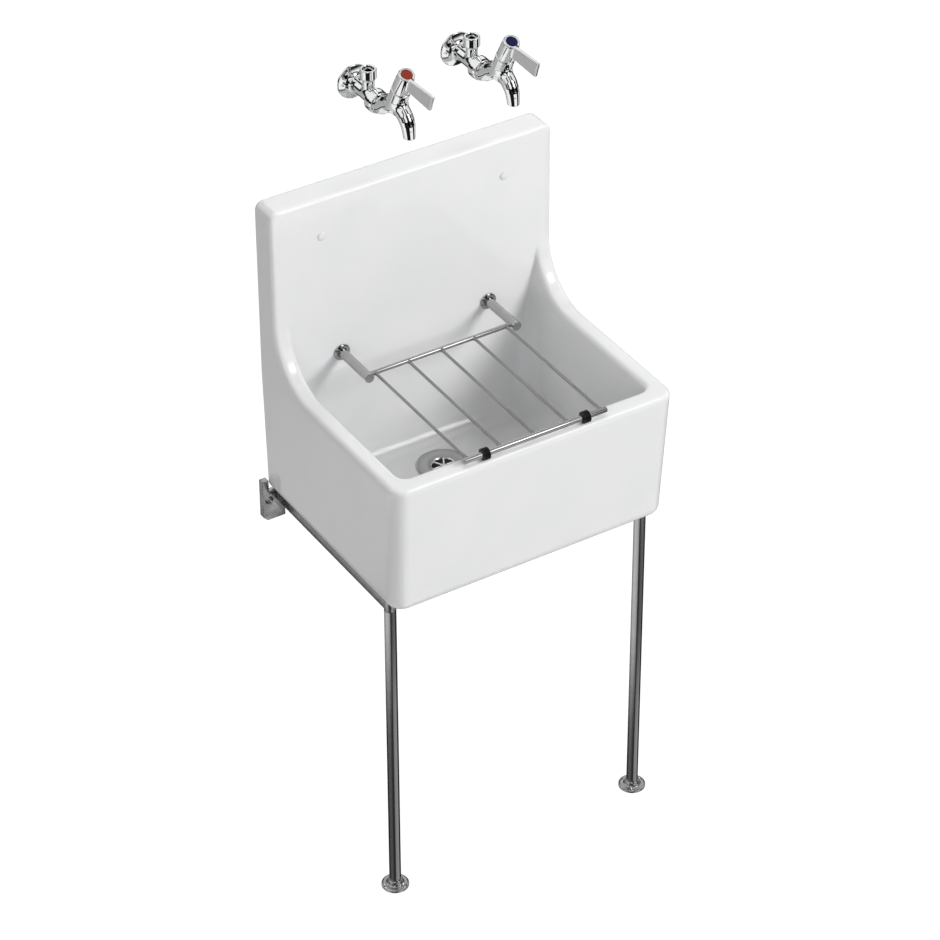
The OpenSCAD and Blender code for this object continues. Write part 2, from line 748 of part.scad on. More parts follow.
module stud_washers() {
    color("silver") both() translate([post_x, stud_washer_t - stud_pocket, grate_z])
        rotate([90, 0, 0]) difference() {
            cylinder(h = stud_washer_t, d = stud_washer_d, $fn = mid);
            translate([0, 0, -over])
                cylinder(h = stud_washer_t + over * 2, d = stud_d + seat * 2, $fn = mid);
        }
}

module stud_nuts() {
    color("silver") both()
        translate([post_x, stud_washer_t + stud_nut_h - stud_pocket, grate_z])
            rotate([90, 0, 0]) difference() {
                cylinder(h = stud_nut_h, d = stud_af / cos(30), $fn = 6);
                translate([0, 0, -over])
                    cylinder(h = stud_nut_h + over * 2, d = stud_d + seat, $fn = mid);
            }
}

// Places of the grating's bars
function bar_x(i) = bar_span * (i / (bars - 1) - 1 / 2);

// Plug holes for the bars, drawn towards the wall from the rail or away from the rod
module plug_holes(y0) {
    for (i = [0 : bars - 1]) translate([bar_x(i), y0 - bar_plug - plug_gap, grate_z])
        rotate([-90, 0, 0])
            cylinder(h = (bar_plug + plug_gap) * 2, d = bar_d + plug_gap * 2, $fn = coarse);
}

module hinge_rod() {
    color("silver") difference() {
        translate([-rod_half, rod_y, grate_z]) rotate([0, 90, 0])
            cylinder(h = rod_half * 2, d = rod_d, $fn = mid);
        plug_holes(rod_y - rod_d / 2);
    }
}

module grating_bars() {
    near = rod_y - rod_d / 2 + bar_plug;
    far = rail_d / 2 - rail_y - bar_plug;
    color("silver") for (i = [0 : bars - 1]) translate([bar_x(i), near, grate_z])
        rotate([90, 0, 0]) cylinder(h = near - far, d = bar_d, $fn = coarse);
}

module front_rail() {
    tip = rail_d / 10;
    color("silver") difference() {
        translate([-rail_len / 2, -rail_y, grate_z]) rotate([0, 90, 0]) {
            cylinder(h = tip, d1 = rail_d - tip * 2, d2 = rail_d, $fn = mid);
            translate([0, 0, tip]) cylinder(h = rail_len - tip * 2, d = rail_d, $fn = mid);
            translate([0, 0, rail_len - tip])
                cylinder(h = tip, d1 = rail_d, d2 = rail_d - tip * 2, $fn = mid);
        }
        plug_holes(rail_d / 2 - rail_y);
    }
}

// Rubber rings on the rail, ribbed, resting on the front rim
module rail_rings() {
    rib = ring_w / 7;
    color("black") both() translate([ring_span / 2 - ring_w / 2, -rail_y, grate_z])
        rotate([0, 90, 0]) rotate_extrude($fn = mid) union() {
            translate([rail_d / 2 + plug_gap, 0])
                square([ring_d / 2 - rail_d / 2 - plug_gap - rib, ring_w]);
            for (i = [0 : 3]) translate([ring_d / 2 - rib * 2, i * rib * 2])
                square([rib * 2, rib]);
        }
}

// Taps: everything here is drawn about the inlet axis of one tap
module on_axis() {
    rotate([90, 0, 0]) children();
}

// Frame of the leaning barrel: z up the barrel from its foot
module on_barrel() {
    translate([0, -barrel_y, barrel_z]) rotate([lean, 0, 0]) children();
}

module elbow() {
    boss = flange_t * 1.2;
    rim = flange_t * 0.3;
    elbow_end = washer_y;
    taper = inlet_h * 0.1;
    socket = inlet_h * 0.36;
    color("silver") difference() {
        union() {
            on_axis() {
                rotate_extrude($fn = fine) polygon([
                    [0, 0], [flange_d / 2, 0], [flange_d / 2, flange_t - rim * 2],
                    [flange_d / 2 - rim / 2, flange_t - rim / 2], [flange_d / 2 - rim * 2, flange_t],
                    [elbow_d / 2 + boss, flange_t], [elbow_d / 2 + boss / 3, flange_t + boss / 3],
                    [elbow_d / 2, flange_t + boss], [0, flange_t + boss]]);
                cylinder(h = elbow_end, d = elbow_d, $fn = mid);
                translate([0, 0, collar_y]) cylinder(h = collar_t, d = collar_rim_d, $fn = mid);
            }
            translate([0, -inlet_y, 0]) {
                cylinder(h = inlet_h - socket, d = neck_d, $fn = mid);
                translate([0, 0, inlet_h - socket - taper])
                    cylinder(h = taper, d1 = neck_d, d2 = inlet_d, $fn = mid);
                translate([0, 0, inlet_h - socket])
                    cylinder(h = socket - rim, d = inlet_d, $fn = mid);
                translate([0, 0, inlet_h - rim])
                    cylinder(h = rim, d1 = inlet_d, d2 = inlet_d - rim, $fn = mid);
            }
        }
        // waterways
        translate([0, water_d / 2 - inlet_y, 0]) on_axis()
            cylinder(h = elbow_end, d = water_d, $fn = mid);
        translate([0, -inlet_y, 0]) cylinder(h = inlet_h, d = water_d, $fn = mid);
        translate([0, -inlet_y, inlet_h - inlet_depth])
            cylinder(h = inlet_h, d = inlet_bore, $fn = mid);
        // countersunk holes
        on_axis() for (i = [0 : flange_holes - 1])
            rotate([0, 0, flange_first + i * 360 / flange_holes])
                translate([flange_pcd / 2, 0, -over]) {
                    cylinder(h = flange_t + boss + over, d = flange_hole_d, $fn = coarse);
                    translate([0, 0, over + flange_t - flange_hole_d / 2])
                        cylinder(h = flange_hole_d / 2 + over, d1 = flange_hole_d,
                            d2 = flange_hole_d * 2 + over * 2, $fn = coarse);
                }
    }
}

module union_nut() {
    edge = union_d / 16;
    dome = union_len * 1.3;
    color("silver") on_axis() translate([0, 0, union_y]) rotate_extrude($fn = fine) difference() {
        intersection() {
            union() {
                square([union_d / 2 - edge, union_len]);
                translate([0, edge]) square([union_d / 2, union_len - edge]);
                translate([union_d / 2 - edge, edge]) circle(edge, $fn = coarse);
            }
            translate([union_d / 2 - dome, union_len * 0.36]) circle(dome, $fn = fine * 2);
        }
        translate([-over, -over]) square([elbow_d / 2 + seat + over, union_len]);
        translate([-over, lip_t]) square([nut_bore_d / 2 + over, union_len]);
    }
}

module union_washer() {
    color("black") on_axis() translate([0, 0, washer_y]) difference() {
        cylinder(h = union_washer_t, d = collar_rim_d, $fn = mid);
        translate([0, 0, -over])
            cylinder(h = union_washer_t + over * 2, d = water_d, $fn = mid);
    }
}

// Body: tail, arch and spout as one tube, with the leaning barrel on top
module tap_body() {
    color("silver") difference() {
        union() {
            tube(body_path, body_radii, coarse);
            on_axis() translate([0, 0, tail_y])
                cylinder(h = tap_tail_len, d = collar_rim_d, $fn = mid);
            on_barrel() cylinder(h = barrel_h, d1 = barrel_d * 0.98, d2 = barrel_d, $fn = mid);
        }
        tube(water_path, water_radii, coarse);
        on_barrel() {
            cylinder(h = barrel_h, d = water_d * 0.8, $fn = mid);
            translate([0, 0, head_foot]) cylinder(h = barrel_h, d = head_d + seat, $fn = mid);
        }
    }
}

module headwork() {
    color("gold") on_barrel() difference() {
        union() {
            translate([0, 0, head_foot]) cylinder(h = barrel_h - head_foot, d = head_d, $fn = mid);
            translate([0, 0, head_foot])
                cylinder(h = barrel_h - head_foot + head_neck, d = head_neck_d, $fn = mid);
        }
        translate([0, 0, spindle_foot])
            cylinder(h = barrel_h * 2, d = spindle_d + spindle_gap * 2, $fn = mid);
        translate([0, 0, head_foot - over]) cylinder(h = over * 2, d = spindle_d / 2, $fn = mid);
    }
}

module spindle() {
    foot = spindle_foot + seat;
    color("gold") on_barrel() difference() {
        translate([0, 0, foot]) cylinder(h = spindle_top - foot, d = spindle_d, $fn = mid);
        translate([0, 0, spindle_top - hub_h * 0.4])
            cylinder(h = hub_h, d = screw_d + seat, $fn = coarse);
    }
}

// Lever: coned hub over the headwork and a level blade towards the user
module lever() {
    edge = hub_top_d / 12;
    mid_z = hub_foot + hub_h * 0.54;
    root = hub_top_d / 4;
    top_reach = lever_reach + lever_h * sin(lean) / 2.6;
    low_reach = lever_reach - lever_h * sin(lean) / 2.6;
    swell = (hub_foot_d - hub_top_d) / 2;
    color("silver") difference() {
        union() {
            on_barrel() {
                translate([0, 0, hub_foot]) rotate_extrude($fn = mid) polygon([
                    [0, 0], [hub_foot_d / 2, 0], [hub_foot_d / 2 - swell * 0.1, hub_h * 0.3],
                    [hub_foot_d / 2 - swell * 0.4, hub_h * 0.6],
                    [hub_top_d / 2, hub_h - edge], [hub_top_d / 2 - edge / 2, hub_h], [0, hub_h]]);
            }
            translate([0, -barrel_y - mid_z * sin(lean), barrel_z + mid_z * cos(lean)])
                intersection() {
                    rotate([90, 0, -90]) linear_extrude(blade_t, center = true) polygon([
                        [root, lever_root_h / 2], [top_reach - edge, lever_h / 2],
                        [top_reach, lever_h / 2 - edge], [low_reach, edge / 2 - lever_h / 2],
                        [low_reach - edge, -lever_h / 2], [root, -lever_root_h / 2]]);
                    translate([0, 0, -lever_h]) linear_extrude(lever_h * 2) polygon([
                        [-blade_t / 2, 0], [-blade_end_t / 2, -lever_reach * 1.2],
                        [blade_end_t / 2, -lever_reach * 1.2], [blade_t / 2, 0]]);
                }
        }
        on_barrel() {
            translate([0, 0, hub_foot - over]) cylinder(h = hub_cup + over, d = hub_cup_d, $fn = mid);
            translate([0, 0, hub_foot - over])
                cylinder(h = spindle_top - hub_foot + seat + over, d = spindle_d + seat, $fn = mid);
            cylinder(h = hub_top, d = screw_d + seat, $fn = coarse);
            translate([0, 0, screw_seat]) cylinder(h = hub_h, d = screw_head_d + seat * 2, $fn = mid);
            translate([0, 0, index_foot]) cylinder(h = hub_h, d = index_d + seat, $fn = mid);
        }
    }
}

module lever_screw() {
    color("silver") on_barrel() difference() {
        union() {
            translate([0, 0, spindle_top - hub_h * 0.3])
                cylinder(h = screw_seat - spindle_top + hub_h * 0.3, d = screw_d, $fn = coarse);
            translate([0, 0, screw_seat]) cylinder(h = screw_head_h, d = screw_head_d, $fn = mid);
        }
        translate([-screw_head_d, -screw_d / 8, screw_seat + screw_head_h / 2])
            cube([screw_head_d * 2, screw_d / 4, screw_head_h]);
    }
}

module index(tint) {
    r = index_d / 2;
    color(tint) on_barrel() translate([0, 0, index_foot]) rotate_extrude($fn = fine) polygon([
        [0, 0], [r, 0], [r, index_t], [r * 0.9, index_t * 1.2], [r * 0.6, index_t * 1.35],
        [0, index_t * 1.4]]);
}

module hot() { translate([hot_x, 0, tap_z]) children(); }
module cold() { translate([cold_x, 0, tap_z]) children(); }

module left_bearer() { mirror([1, 0, 0]) bearer(); }
module right_bearer() { bearer(); }
module left_leg() { mirror([1, 0, 0]) leg(); }
module right_leg() { leg(); }
module left_foot() { mirror([1, 0, 0]) foot(); }
module right_foot() { foot(); }
module left_post() { mirror([1, 0, 0]) post(); }
module right_post() { post(); }
module hot_elbow() { hot() elbow(); }
module cold_elbow() { cold() elbow(); }
module hot_union_nut() { hot() union_nut(); }
module cold_union_nut() { cold() union_nut(); }
module hot_union_washer() { hot() union_washer(); }
module cold_union_washer() { cold() union_washer(); }
module hot_body() { hot() tap_body(); }
module cold_body() { cold() tap_body(); }
module hot_headwork() { hot() headwork(); }
module cold_headwork() { cold() headwork(); }
module hot_spindle() { hot() spindle(); }
module cold_spindle() { cold() spindle(); }
module hot_lever() { hot() lever(); }
module cold_lever() { cold() lever(); }
module hot_lever_screw() { hot() lever_screw(); }
module cold_lever_screw() { cold() lever_screw(); }
module hot_index() { hot() index("red"); }
module cold_index() { cold() index("blue"); }

sink_body();
screw_caps();
waste_flange();
waste_seal();
waste_washer();
waste_backnut();
left_bearer();
right_bearer();
left_leg();
right_leg();
left_foot();
right_foot();
foot_set_screws();
roses();
left_post();
right_post();
post_studs();
stud_washers();
stud_nuts();
hinge_rod();
grating_bars();
front_rail();
rail_rings();
hot_elbow();
hot_union_nut();
hot_union_washer();
hot_body();
hot_headwork();
hot_spindle();
hot_lever();
hot_lever_screw();
hot_index();
cold_elbow();
cold_union_nut();
cold_union_washer();
cold_body();
cold_headwork();
cold_spindle();
cold_lever();
cold_lever_screw();
cold_index();
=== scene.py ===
"""Looks of the utility laundry sink: smooth meshes, materials, light and camera."""
import math

import bmesh
import bpy
import numpy as np
from mathutils import Matrix, Vector

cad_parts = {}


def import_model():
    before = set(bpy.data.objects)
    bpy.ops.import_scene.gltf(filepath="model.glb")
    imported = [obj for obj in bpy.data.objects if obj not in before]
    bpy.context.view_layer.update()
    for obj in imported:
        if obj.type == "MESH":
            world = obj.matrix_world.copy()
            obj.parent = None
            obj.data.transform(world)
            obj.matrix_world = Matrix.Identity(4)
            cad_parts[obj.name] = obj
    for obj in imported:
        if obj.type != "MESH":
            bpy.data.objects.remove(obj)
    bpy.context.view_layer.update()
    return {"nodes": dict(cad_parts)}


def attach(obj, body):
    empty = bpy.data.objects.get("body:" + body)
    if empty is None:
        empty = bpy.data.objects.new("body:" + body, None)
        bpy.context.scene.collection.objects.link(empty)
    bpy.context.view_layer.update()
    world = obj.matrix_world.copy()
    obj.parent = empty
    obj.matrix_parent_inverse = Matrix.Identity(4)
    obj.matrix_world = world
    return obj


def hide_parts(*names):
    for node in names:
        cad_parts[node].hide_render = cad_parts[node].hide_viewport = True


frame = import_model()

MM = 0.001

# Sizes of the part in millimetres, as the frame has them
HALF_W, BASE_HALF_W = 257.5, 252.5
SINK_D, SINK_BASE_D = 415, 400
BOWL_H, UPSTAND_H, BACK_T = 245, 305, 50
SIDE_RIM, FRONT_RIM, FLOOR_T = 30, 33, 30
CORNER_R, BASE_ROUND, RIM_ROUND, TOP_CORNER_R = 26, 16, 8.5, 14
SWEEP_R, WALL_ROUND = 100, 3.5
BOWL_CORNER_R, BOWL_FLOOR_R = 18, 34
SIDE_DRAFT, FRONT_DRAFT, FILLET_RISE = 9, 8, 68
BAND_H = RIM_ROUND * 1.4
FLOOR_Z = FLOOR_T - BOWL_H
CAP_X, CAP_Z = 167.5, 238
WASTE = (0, -134)
POST_X, GRATE_Z, ROD_Y = 137.5, 10.3, -128
RAIL_Y = -406
LEG_X, LEG_Y, FLOOR_LEVEL = 236, -356, -845
TAP_Z, HOT_X, COLD_X = 463, -76, 110
GRATE_POST_R, GRATE_ROD_R, RAIL_R, BAR_R = 8, 4, 5, 2.5
BAR_SPREAD, RING_X, RING_W = 245, 92, 11
ARM_IN, ARM_OUT, ARM_Z, ARM_H = 228.5, 243.5, -266, 21
PLATE_T = 12
LEG_R, LEG_BORE_R, LEG_L = 9.75, 8.25, 576.5

# Sizes of one tap, its leaning parts given along the barrel's axis
LEAN = math.radians(26)
BARREL_FOOT = (-128, 22)
FLANGE_R, PIPE_R, PIPE_END = 29, 12, 65.5
INLET_Y, INLET_TOP = -47, 45
NUT_Y = -62
SPOUT_OUT, SPOUT_DROP = -BARREL_FOOT[0] * 0.3, BARREL_FOOT[1] * 1.75
HUB_LOW, HUB_H, HUB_R, HUB_THIN = 39.4, 37, 15.1, 2.1
BLADE_REACH, BLADE_T, BLADE_H = 80, 8, 27.5
INDEX_FOOT = 74.8


# Fields: negative inside the solid, in millimetres
def join(a, b, r):
    """Both solids, with a fillet of radius r where they meet."""
    return np.maximum(r, np.minimum(a, b)) - np.hypot(np.maximum(r - a, 0), np.maximum(r - b, 0))


def meet(a, b, r):
    """What both solids share, with its edge rounded to radius r."""
    return np.minimum(-r, np.maximum(a, b)) + np.hypot(np.maximum(a + r, 0), np.maximum(b + r, 0))


def skin(field, low, high, step, relax=3):
    """Quads over the field's zero level, every vertex on the level itself."""
    low, high = np.array(low, float), np.array(high, float)
    count = np.ceil((high - low) / step).astype(int) + 1
    lines = [low[i] + step * np.arange(count[i]) for i in range(3)]
    solid = field(*np.meshgrid(*lines, indexing="ij", sparse=True)) < 0
    corners = sum(
        solid[i:count[0] - 1 + i, j:count[1] - 1 + j, k:count[2] - 1 + k].astype(np.int8)
        for i in (0, 1) for j in (0, 1) for k in (0, 1))
    cells = (corners > 0) & (corners < 8)
    ids = np.full(cells.shape, -1)
    ids[cells] = np.arange(cells.sum())
    points = low + (np.argwhere(cells) + 0.5) * step
    quads = []
    for axis in range(3):
        a = np.moveaxis(solid, axis, 0)
        c = np.moveaxis(ids, axis, 0)
        inner = (slice(None), slice(1, -1), slice(1, -1))
        here, there = a[:-1][inner], a[1:][inner]
        ring = [c[:, :-1, :-1], c[:, 1:, :-1], c[:, 1:, 1:], c[:, :-1, 1:]]
        if axis == 1:
            ring.reverse()
        for crossing, order in ((here & ~there, (0, 1, 2, 3)), (~here & there, (3, 2, 1, 0))):
            quads.append(np.stack([ring[k][crossing] for k in order], axis=1))
    quads = np.concatenate(quads)
    points = settle(field, points, step, 4)
    ends = np.concatenate([quads[:, [k, (k + 1) % 4]] for k in range(4)])
    for _ in range(relax):
        total = np.zeros_like(points)
        number = np.zeros(len(points))
        np.add.at(total, ends[:, 0], points[ends[:, 1]])
        np.add.at(number, ends[:, 0], 1)
        points = settle(field, (points + total / number[:, None]) / 2, step, 2)
    return points, quads


def settle(field, points, step, rounds):
    """Points moved along the field's slope onto its zero level."""
    reach = step * 0.05
    for _ in range(rounds):
        value = field(*points.T)
        slope = np.stack([
            (field(*(points + reach * e).T) - field(*(points - reach * e).T)) / (2 * reach)
            for e in np.eye(3)], axis=1)
        size = np.maximum((slope ** 2).sum(axis=1), 0.05)
        move = slope * (value / size)[:, None]
        length = np.linalg.norm(move, axis=1, keepdims=True)
        points = points - move * np.minimum(1, step / np.maximum(length, 1e-9))
    return points


# Meshes
def mesh_of(points, faces):
    """Mesh in metres of points in millimetres and their faces."""
    mesh = bpy.data.meshes.new("shape")
    mesh.from_pydata(np.asarray(points, float) * MM, [], [list(map(int, f)) for f in faces])
    mesh.update()
    return mesh


def rounded(corners, n=5):
    """Profile points with an arc at each corner given as (r, z, radius)."""
    out = []
    for i, corner in enumerate(corners):
        p = Vector(corner[:2])
        radius = corner[2] if len(corner) > 2 else 0
        if not radius or i in (0, len(corners) - 1):
            out.append(tuple(p))
            continue
        a, b = Vector(corners[i - 1][:2]) - p, Vector(corners[i + 1][:2]) - p
        half = a.angle(b) / 2
        back = min(radius / math.tan(half), a.length * 0.49, b.length * 0.49)
        radius = back * math.tan(half)
        middle = p + (a.normalized() + b.normalized()).normalized() * (radius / math.sin(half))
        start, end = p + a.normalized() * back - middle, p + b.normalized() * back - middle
        turn = start.angle_signed(end)
        for k in range(n + 1):
            s = start.copy()
            s.rotate(Matrix.Rotation(-turn * k / n, 2))
            out.append(tuple(middle + s))
    return out


def lathe(profile, n=64):
    """Points and faces of a profile turned about z; an end with r = 0 closes to a point."""
    points, faces, rows = [], [], []
    for r, z in profile:
        if r < 1e-6:
            rows.append([len(points)] * n)
            points.append((0, 0, z))
        else:
            rows.append(list(range(len(points), len(points) + n)))
            points += [(r * math.cos(2 * math.pi * k / n), r * math.sin(2 * math.pi * k / n), z)
                       for k in range(n)]
    closed = profile[0] == profile[-1]
    pairs = list(zip(rows[:-1], rows[1:]))
    if closed:
        pairs[-1] = (rows[-2], rows[0])
        points = points[:rows[-1][0]]
    for a, b in pairs:
        for k in range(n):
            m = (k + 1) % n
            face = []
            for v in (a[k], b[k], b[m], a[m]):
                if v not in face:
                    face.append(v)
            if len(face) > 2:
                faces.append(face[::-1])
    return np.array(points), faces


def prism(outline, height, edge, segments=2):
    """Solid of an outline in x and y, height along z, with its edges rounded."""
    bm = bmesh.new()
    low = [bm.verts.new((x, y, 0)) for x, y in outline]
    high = [bm.verts.new((x, y, height)) for x, y in outline]
    bm.faces.new(low[::-1])
    bm.faces.new(high)
    for i in range(len(outline)):
        k = (i + 1) % len(outline)
        bm.faces.new((low[i], low[k], high[k], high[i]))
    bmesh.ops.recalc_face_normals(bm, faces=bm.faces)
    sharp = [e for e in bm.edges if e.calc_face_angle() > math.radians(25)]
    bmesh.ops.bevel(bm, geom=sharp, offset=edge, segments=segments, profile=0.5,
                    affect="EDGES", clamp_overlap=True)
    return bm_arrays(bm)


def bm_arrays(bm):
    """Points and faces of a bmesh, which is freed."""
    bm.verts.ensure_lookup_table()
    points = np.array([v.co[:] for v in bm.verts])
    faces = [[v.index for v in f.verts] for f in bm.faces]
    bm.free()
    return points, faces


def mesh_arrays(mesh):
    """Points in millimetres and faces of a mesh."""
    points = np.array([v.co[:] for v in mesh.vertices]) / MM
    return points, [list(p.vertices) for p in mesh.polygons]


def placed(shape, matrix):
    """The shape moved by the matrix."""
    points, faces = shape
    m = np.array(matrix)
    return points @ m[:3, :3].T + m[:3, 3], faces


def mirrored(shape, sign):
    """The shape itself for a sign of 1, its mirror image in x for -1."""
    points, faces = shape
    return shape if sign > 0 else (points * (-1, 1, 1), [list(f)[::-1] for f in faces])


def both(shape):
    """The shape and its mirror image in x."""
    return together([shape, mirrored(shape, -1)])


def together(shapes):
    """All shapes as one."""
    points, faces, start = [], [], 0
    for p, f in shapes:
        points.append(p)
        faces += [[v + start for v in face] for face in f]
        start += len(p)
    return np.concatenate(points), faces


def at(x, y, z, turn=None):
    """Matrix of a move, after a turn such as ('X', 90) or several of them."""
    m = Matrix.Translation((x, y, z))
    for axis, angle in [turn] if turn and isinstance(turn[0], str) else turn or []:
        m = m @ Matrix.Rotation(math.radians(angle), 4, axis)
    return m


def cut(mesh, shapes):
    """The mesh less the closed shapes, each in millimetres."""
    base = bpy.data.objects.new("base", mesh)
    bpy.context.collection.objects.link(base)
    tools = []
    for shape in shapes:
        tool = bpy.data.objects.new("tool", mesh_of(*shape))
        bpy.context.collection.objects.link(tool)
        tools.append(tool)
        m = base.modifiers.new("cut", "BOOLEAN")
        m.operation, m.solver, m.object = "DIFFERENCE", "EXACT", tool
    bpy.context.view_layer.update()
    result = bpy.data.meshes.new_from_object(base.evaluated_get(bpy.context.evaluated_depsgraph_get()))
    for o in [base, *tools]:
        bpy.data.objects.remove(o)
    return result


def piece(name, shape, material, node, body="root", sharp=32):
    """A piece of the object that stands for CAD nodes."""
    mesh = shape if isinstance(shape, bpy.types.Mesh) else mesh_of(*shape)
    mesh.name = name
    mesh.materials.clear()
    mesh.materials.append(material)
    mesh.shade_smooth()
    mesh.set_sharp_from_angle(angle=math.radians(sharp))
    o = bpy.data.objects.new(name, mesh)
    bpy.context.collection.objects.link(o)
    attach(o, body)
    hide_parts(*([node] if isinstance(node, str) else node))
    return o


# Materials
class Nodes:
    """A material's nodes, with short calls for what the materials share."""

    def __init__(self, name):
        self.material = bpy.data.materials.new(name)
        self.material.use_nodes = True
        self.tree = self.material.node_tree
        self.bsdf = self.tree.nodes["Principled BSDF"]
        self.place = self.add("ShaderNodeTexCoord").outputs["Object"]

    def add(self, kind, **values):
        n = self.tree.nodes.new(kind)
        for key, value in values.items():
            setattr(n, key, value)
        return n

    def link(self, a, b):
        self.tree.links.new(a, b)

    def set(self, **values):
        for key, value in values.items():
            self.bsdf.inputs[key.replace("_", " ")].default_value = value

    def noise(self, scale, detail=2, stretch=None, rough=0.5):
        """Noise with its scale in cycles per metre, stretched along an axis."""
        n = self.add("ShaderNodeTexNoise")
        n.inputs["Scale"].default_value = scale
        n.inputs["Detail"].default_value = detail
        n.inputs["Roughness"].default_value = rough
        source = self.place
        if stretch:
            m = self.add("ShaderNodeMapping")
            m.inputs["Scale"].default_value = stretch
            self.link(source, m.inputs["Vector"])
            source = m.outputs["Vector"]
        self.link(source, n.inputs["Vector"])
        return n.outputs["Fac"]

    def span(self, source, low, high, a=0.0, b=1.0):
        """source between a and b, made to run from low to high."""
        n = self.add("ShaderNodeMapRange")
        n.inputs["From Min"].default_value = a
        n.inputs["From Max"].default_value = b
        n.inputs["To Min"].default_value = low
        n.inputs["To Max"].default_value = high
        self.link(source, n.inputs["Value"])
        return n.outputs["Result"]

    def blend(self, factor, a, b):
        """Colour from a to b; each is a colour or a socket."""
        n = self.add("ShaderNodeMix", data_type="RGBA")
        self.link(factor, n.inputs["Factor"])
        for socket, value in ((n.inputs[6], a), (n.inputs[7], b)):
            if isinstance(value, tuple):
                socket.default_value = (*value, 1)
            else:
                self.link(value, socket)
        return n.outputs[2]

    def bump(self, height, distance, strength=1.0, below=None):
        n = self.add("ShaderNodeBump")
        n.inputs["Distance"].default_value = distance
        n.inputs["Strength"].default_value = strength
        self.link(height, n.inputs["Height"])
        if below is not None:
            self.link(below, n.inputs["Normal"])
        return n.outputs["Normal"]

    def done(self, **sockets):
        for key, source in sockets.items():
            self.link(source, self.bsdf.inputs[key.replace("_", " ")])
        return self.material


def ceramic():
    """Glazed fireclay: even white glaze with soft waves, bare biscuit on the wall side."""
    m = Nodes("glazed_fireclay")
    m.set(IOR=1.52, Coat_Weight=0.0, Specular_IOR_Level=0.5)
    parts = m.add("ShaderNodeSeparateXYZ")
    m.link(m.place, parts.inputs["Vector"])
    bare = m.span(parts.outputs["Y"], 0.0, 1.0, -0.0022, -0.0012)
    glaze = m.blend(m.span(m.noise(9, 3), 0, 1, 0.35, 0.65), (0.80, 0.805, 0.81), (0.825, 0.825, 0.825))
    biscuit = m.blend(m.noise(180, 4), (0.60, 0.57, 0.52), (0.70, 0.67, 0.61))
    colour = m.blend(bare, glaze, biscuit)
    rough = m.add("ShaderNodeMix")
    m.link(bare, rough.inputs[0])
    m.link(m.span(m.noise(60, 3), 0.04, 0.07), rough.inputs[2])
    rough.inputs[3].default_value = 0.85
    waves = m.bump(m.noise(12, 1), 0.0004)
    grain = m.bump(m.noise(420, 2), 0.00003, below=waves)
    return m.done(Base_Color=colour, Roughness=rough.outputs[0], Normal=grain)


def metal(name, tint, low, high, streak=None, scale=300, dent=0.00002, wave=0.0, cloud=0.96):
    """Metal whose roughness runs from low to high, with streaks along one axis if asked."""
    m = Nodes(name)
    m.set(Metallic=1.0)
    pattern = m.noise(scale, 3, streak)
    colour = m.blend(m.span(m.noise(70, 3), 0, 1, 0.3, 0.7), tuple(c * cloud for c in tint), tint)
    normal = m.bump(pattern, dent)
    if wave:
        normal = m.bump(m.noise(45, 1), wave, below=normal)
    return m.done(Base_Color=colour, Roughness=m.span(pattern, low, high, 0.3, 0.7), Normal=normal)


def plastic(name, dark, light, rough, grain=500, dent=0.00003, shine=0.5):
    m = Nodes(name)
    m.set(Roughness=rough, Specular_IOR_Level=shine)
    speckle = m.noise(grain, 3)
    colour = m.blend(m.noise(40, 2), dark, light)
    return m.done(Base_Color=colour, Normal=m.bump(speckle, dent))


CERAMIC = ceramic()
CHROME = metal("chrome_plate", (0.88, 0.885, 0.89), 0.01, 0.035, scale=120, dent=0.00001, wave=0.0001)
STEEL_X = metal("polished_steel_x", (0.46, 0.46, 0.455), 0.06, 0.12, (1, 30, 30), 60)
STEEL_Y = metal("polished_steel_y", (0.45, 0.45, 0.445), 0.04, 0.08, (30, 1, 30), 60, cloud=0.9)
STEEL_PLATE = metal("satin_steel_plate", (0.44, 0.44, 0.44), 0.3, 0.4, scale=140)
BAR_STEEL = metal("bar_steel", (0.32, 0.32, 0.32), 0.07, 0.14, (30, 1, 30), 60)
LEG_STEEL = metal("leg_tube_steel", (0.45, 0.45, 0.45), 0.04, 0.08, (30, 30, 1), 60)
FOOT_METAL = metal("foot_chrome", (0.42, 0.42, 0.42), 0.24, 0.34, scale=200)
BEARER = metal("bearer_alloy", (0.44, 0.44, 0.44), 0.2, 0.36, scale=400, dent=0.0001, cloud=0.76)
STRAINER = metal("polished_strainer", (0.78, 0.78, 0.78), 0.12, 0.2, scale=200)
FASTENER = metal("fastener_steel", (0.55, 0.55, 0.54), 0.25, 0.4, scale=400)
BRASS = metal("brass", (0.78, 0.60, 0.30), 0.15, 0.3, scale=300)
RUBBER = plastic("black_rubber", (0.006, 0.006, 0.006), (0.012, 0.012, 0.012), 0.33, 900, 0.00004, 0.3)
CAP = plastic("white_cap", (0.78, 0.78, 0.78), (0.82, 0.82, 0.82), 0.25)
FOAM = plastic("white_foam", (0.70, 0.70, 0.68), (0.80, 0.80, 0.78), 0.8, 1500, 0.0002)
RED = plastic("red_index", (0.19, 0.024, 0.012), (0.25, 0.034, 0.018), 0.35, shine=0.2)
BLUE = plastic("blue_index", (0.004, 0.004, 0.04), (0.008, 0.008, 0.06), 0.35, shine=0.2)


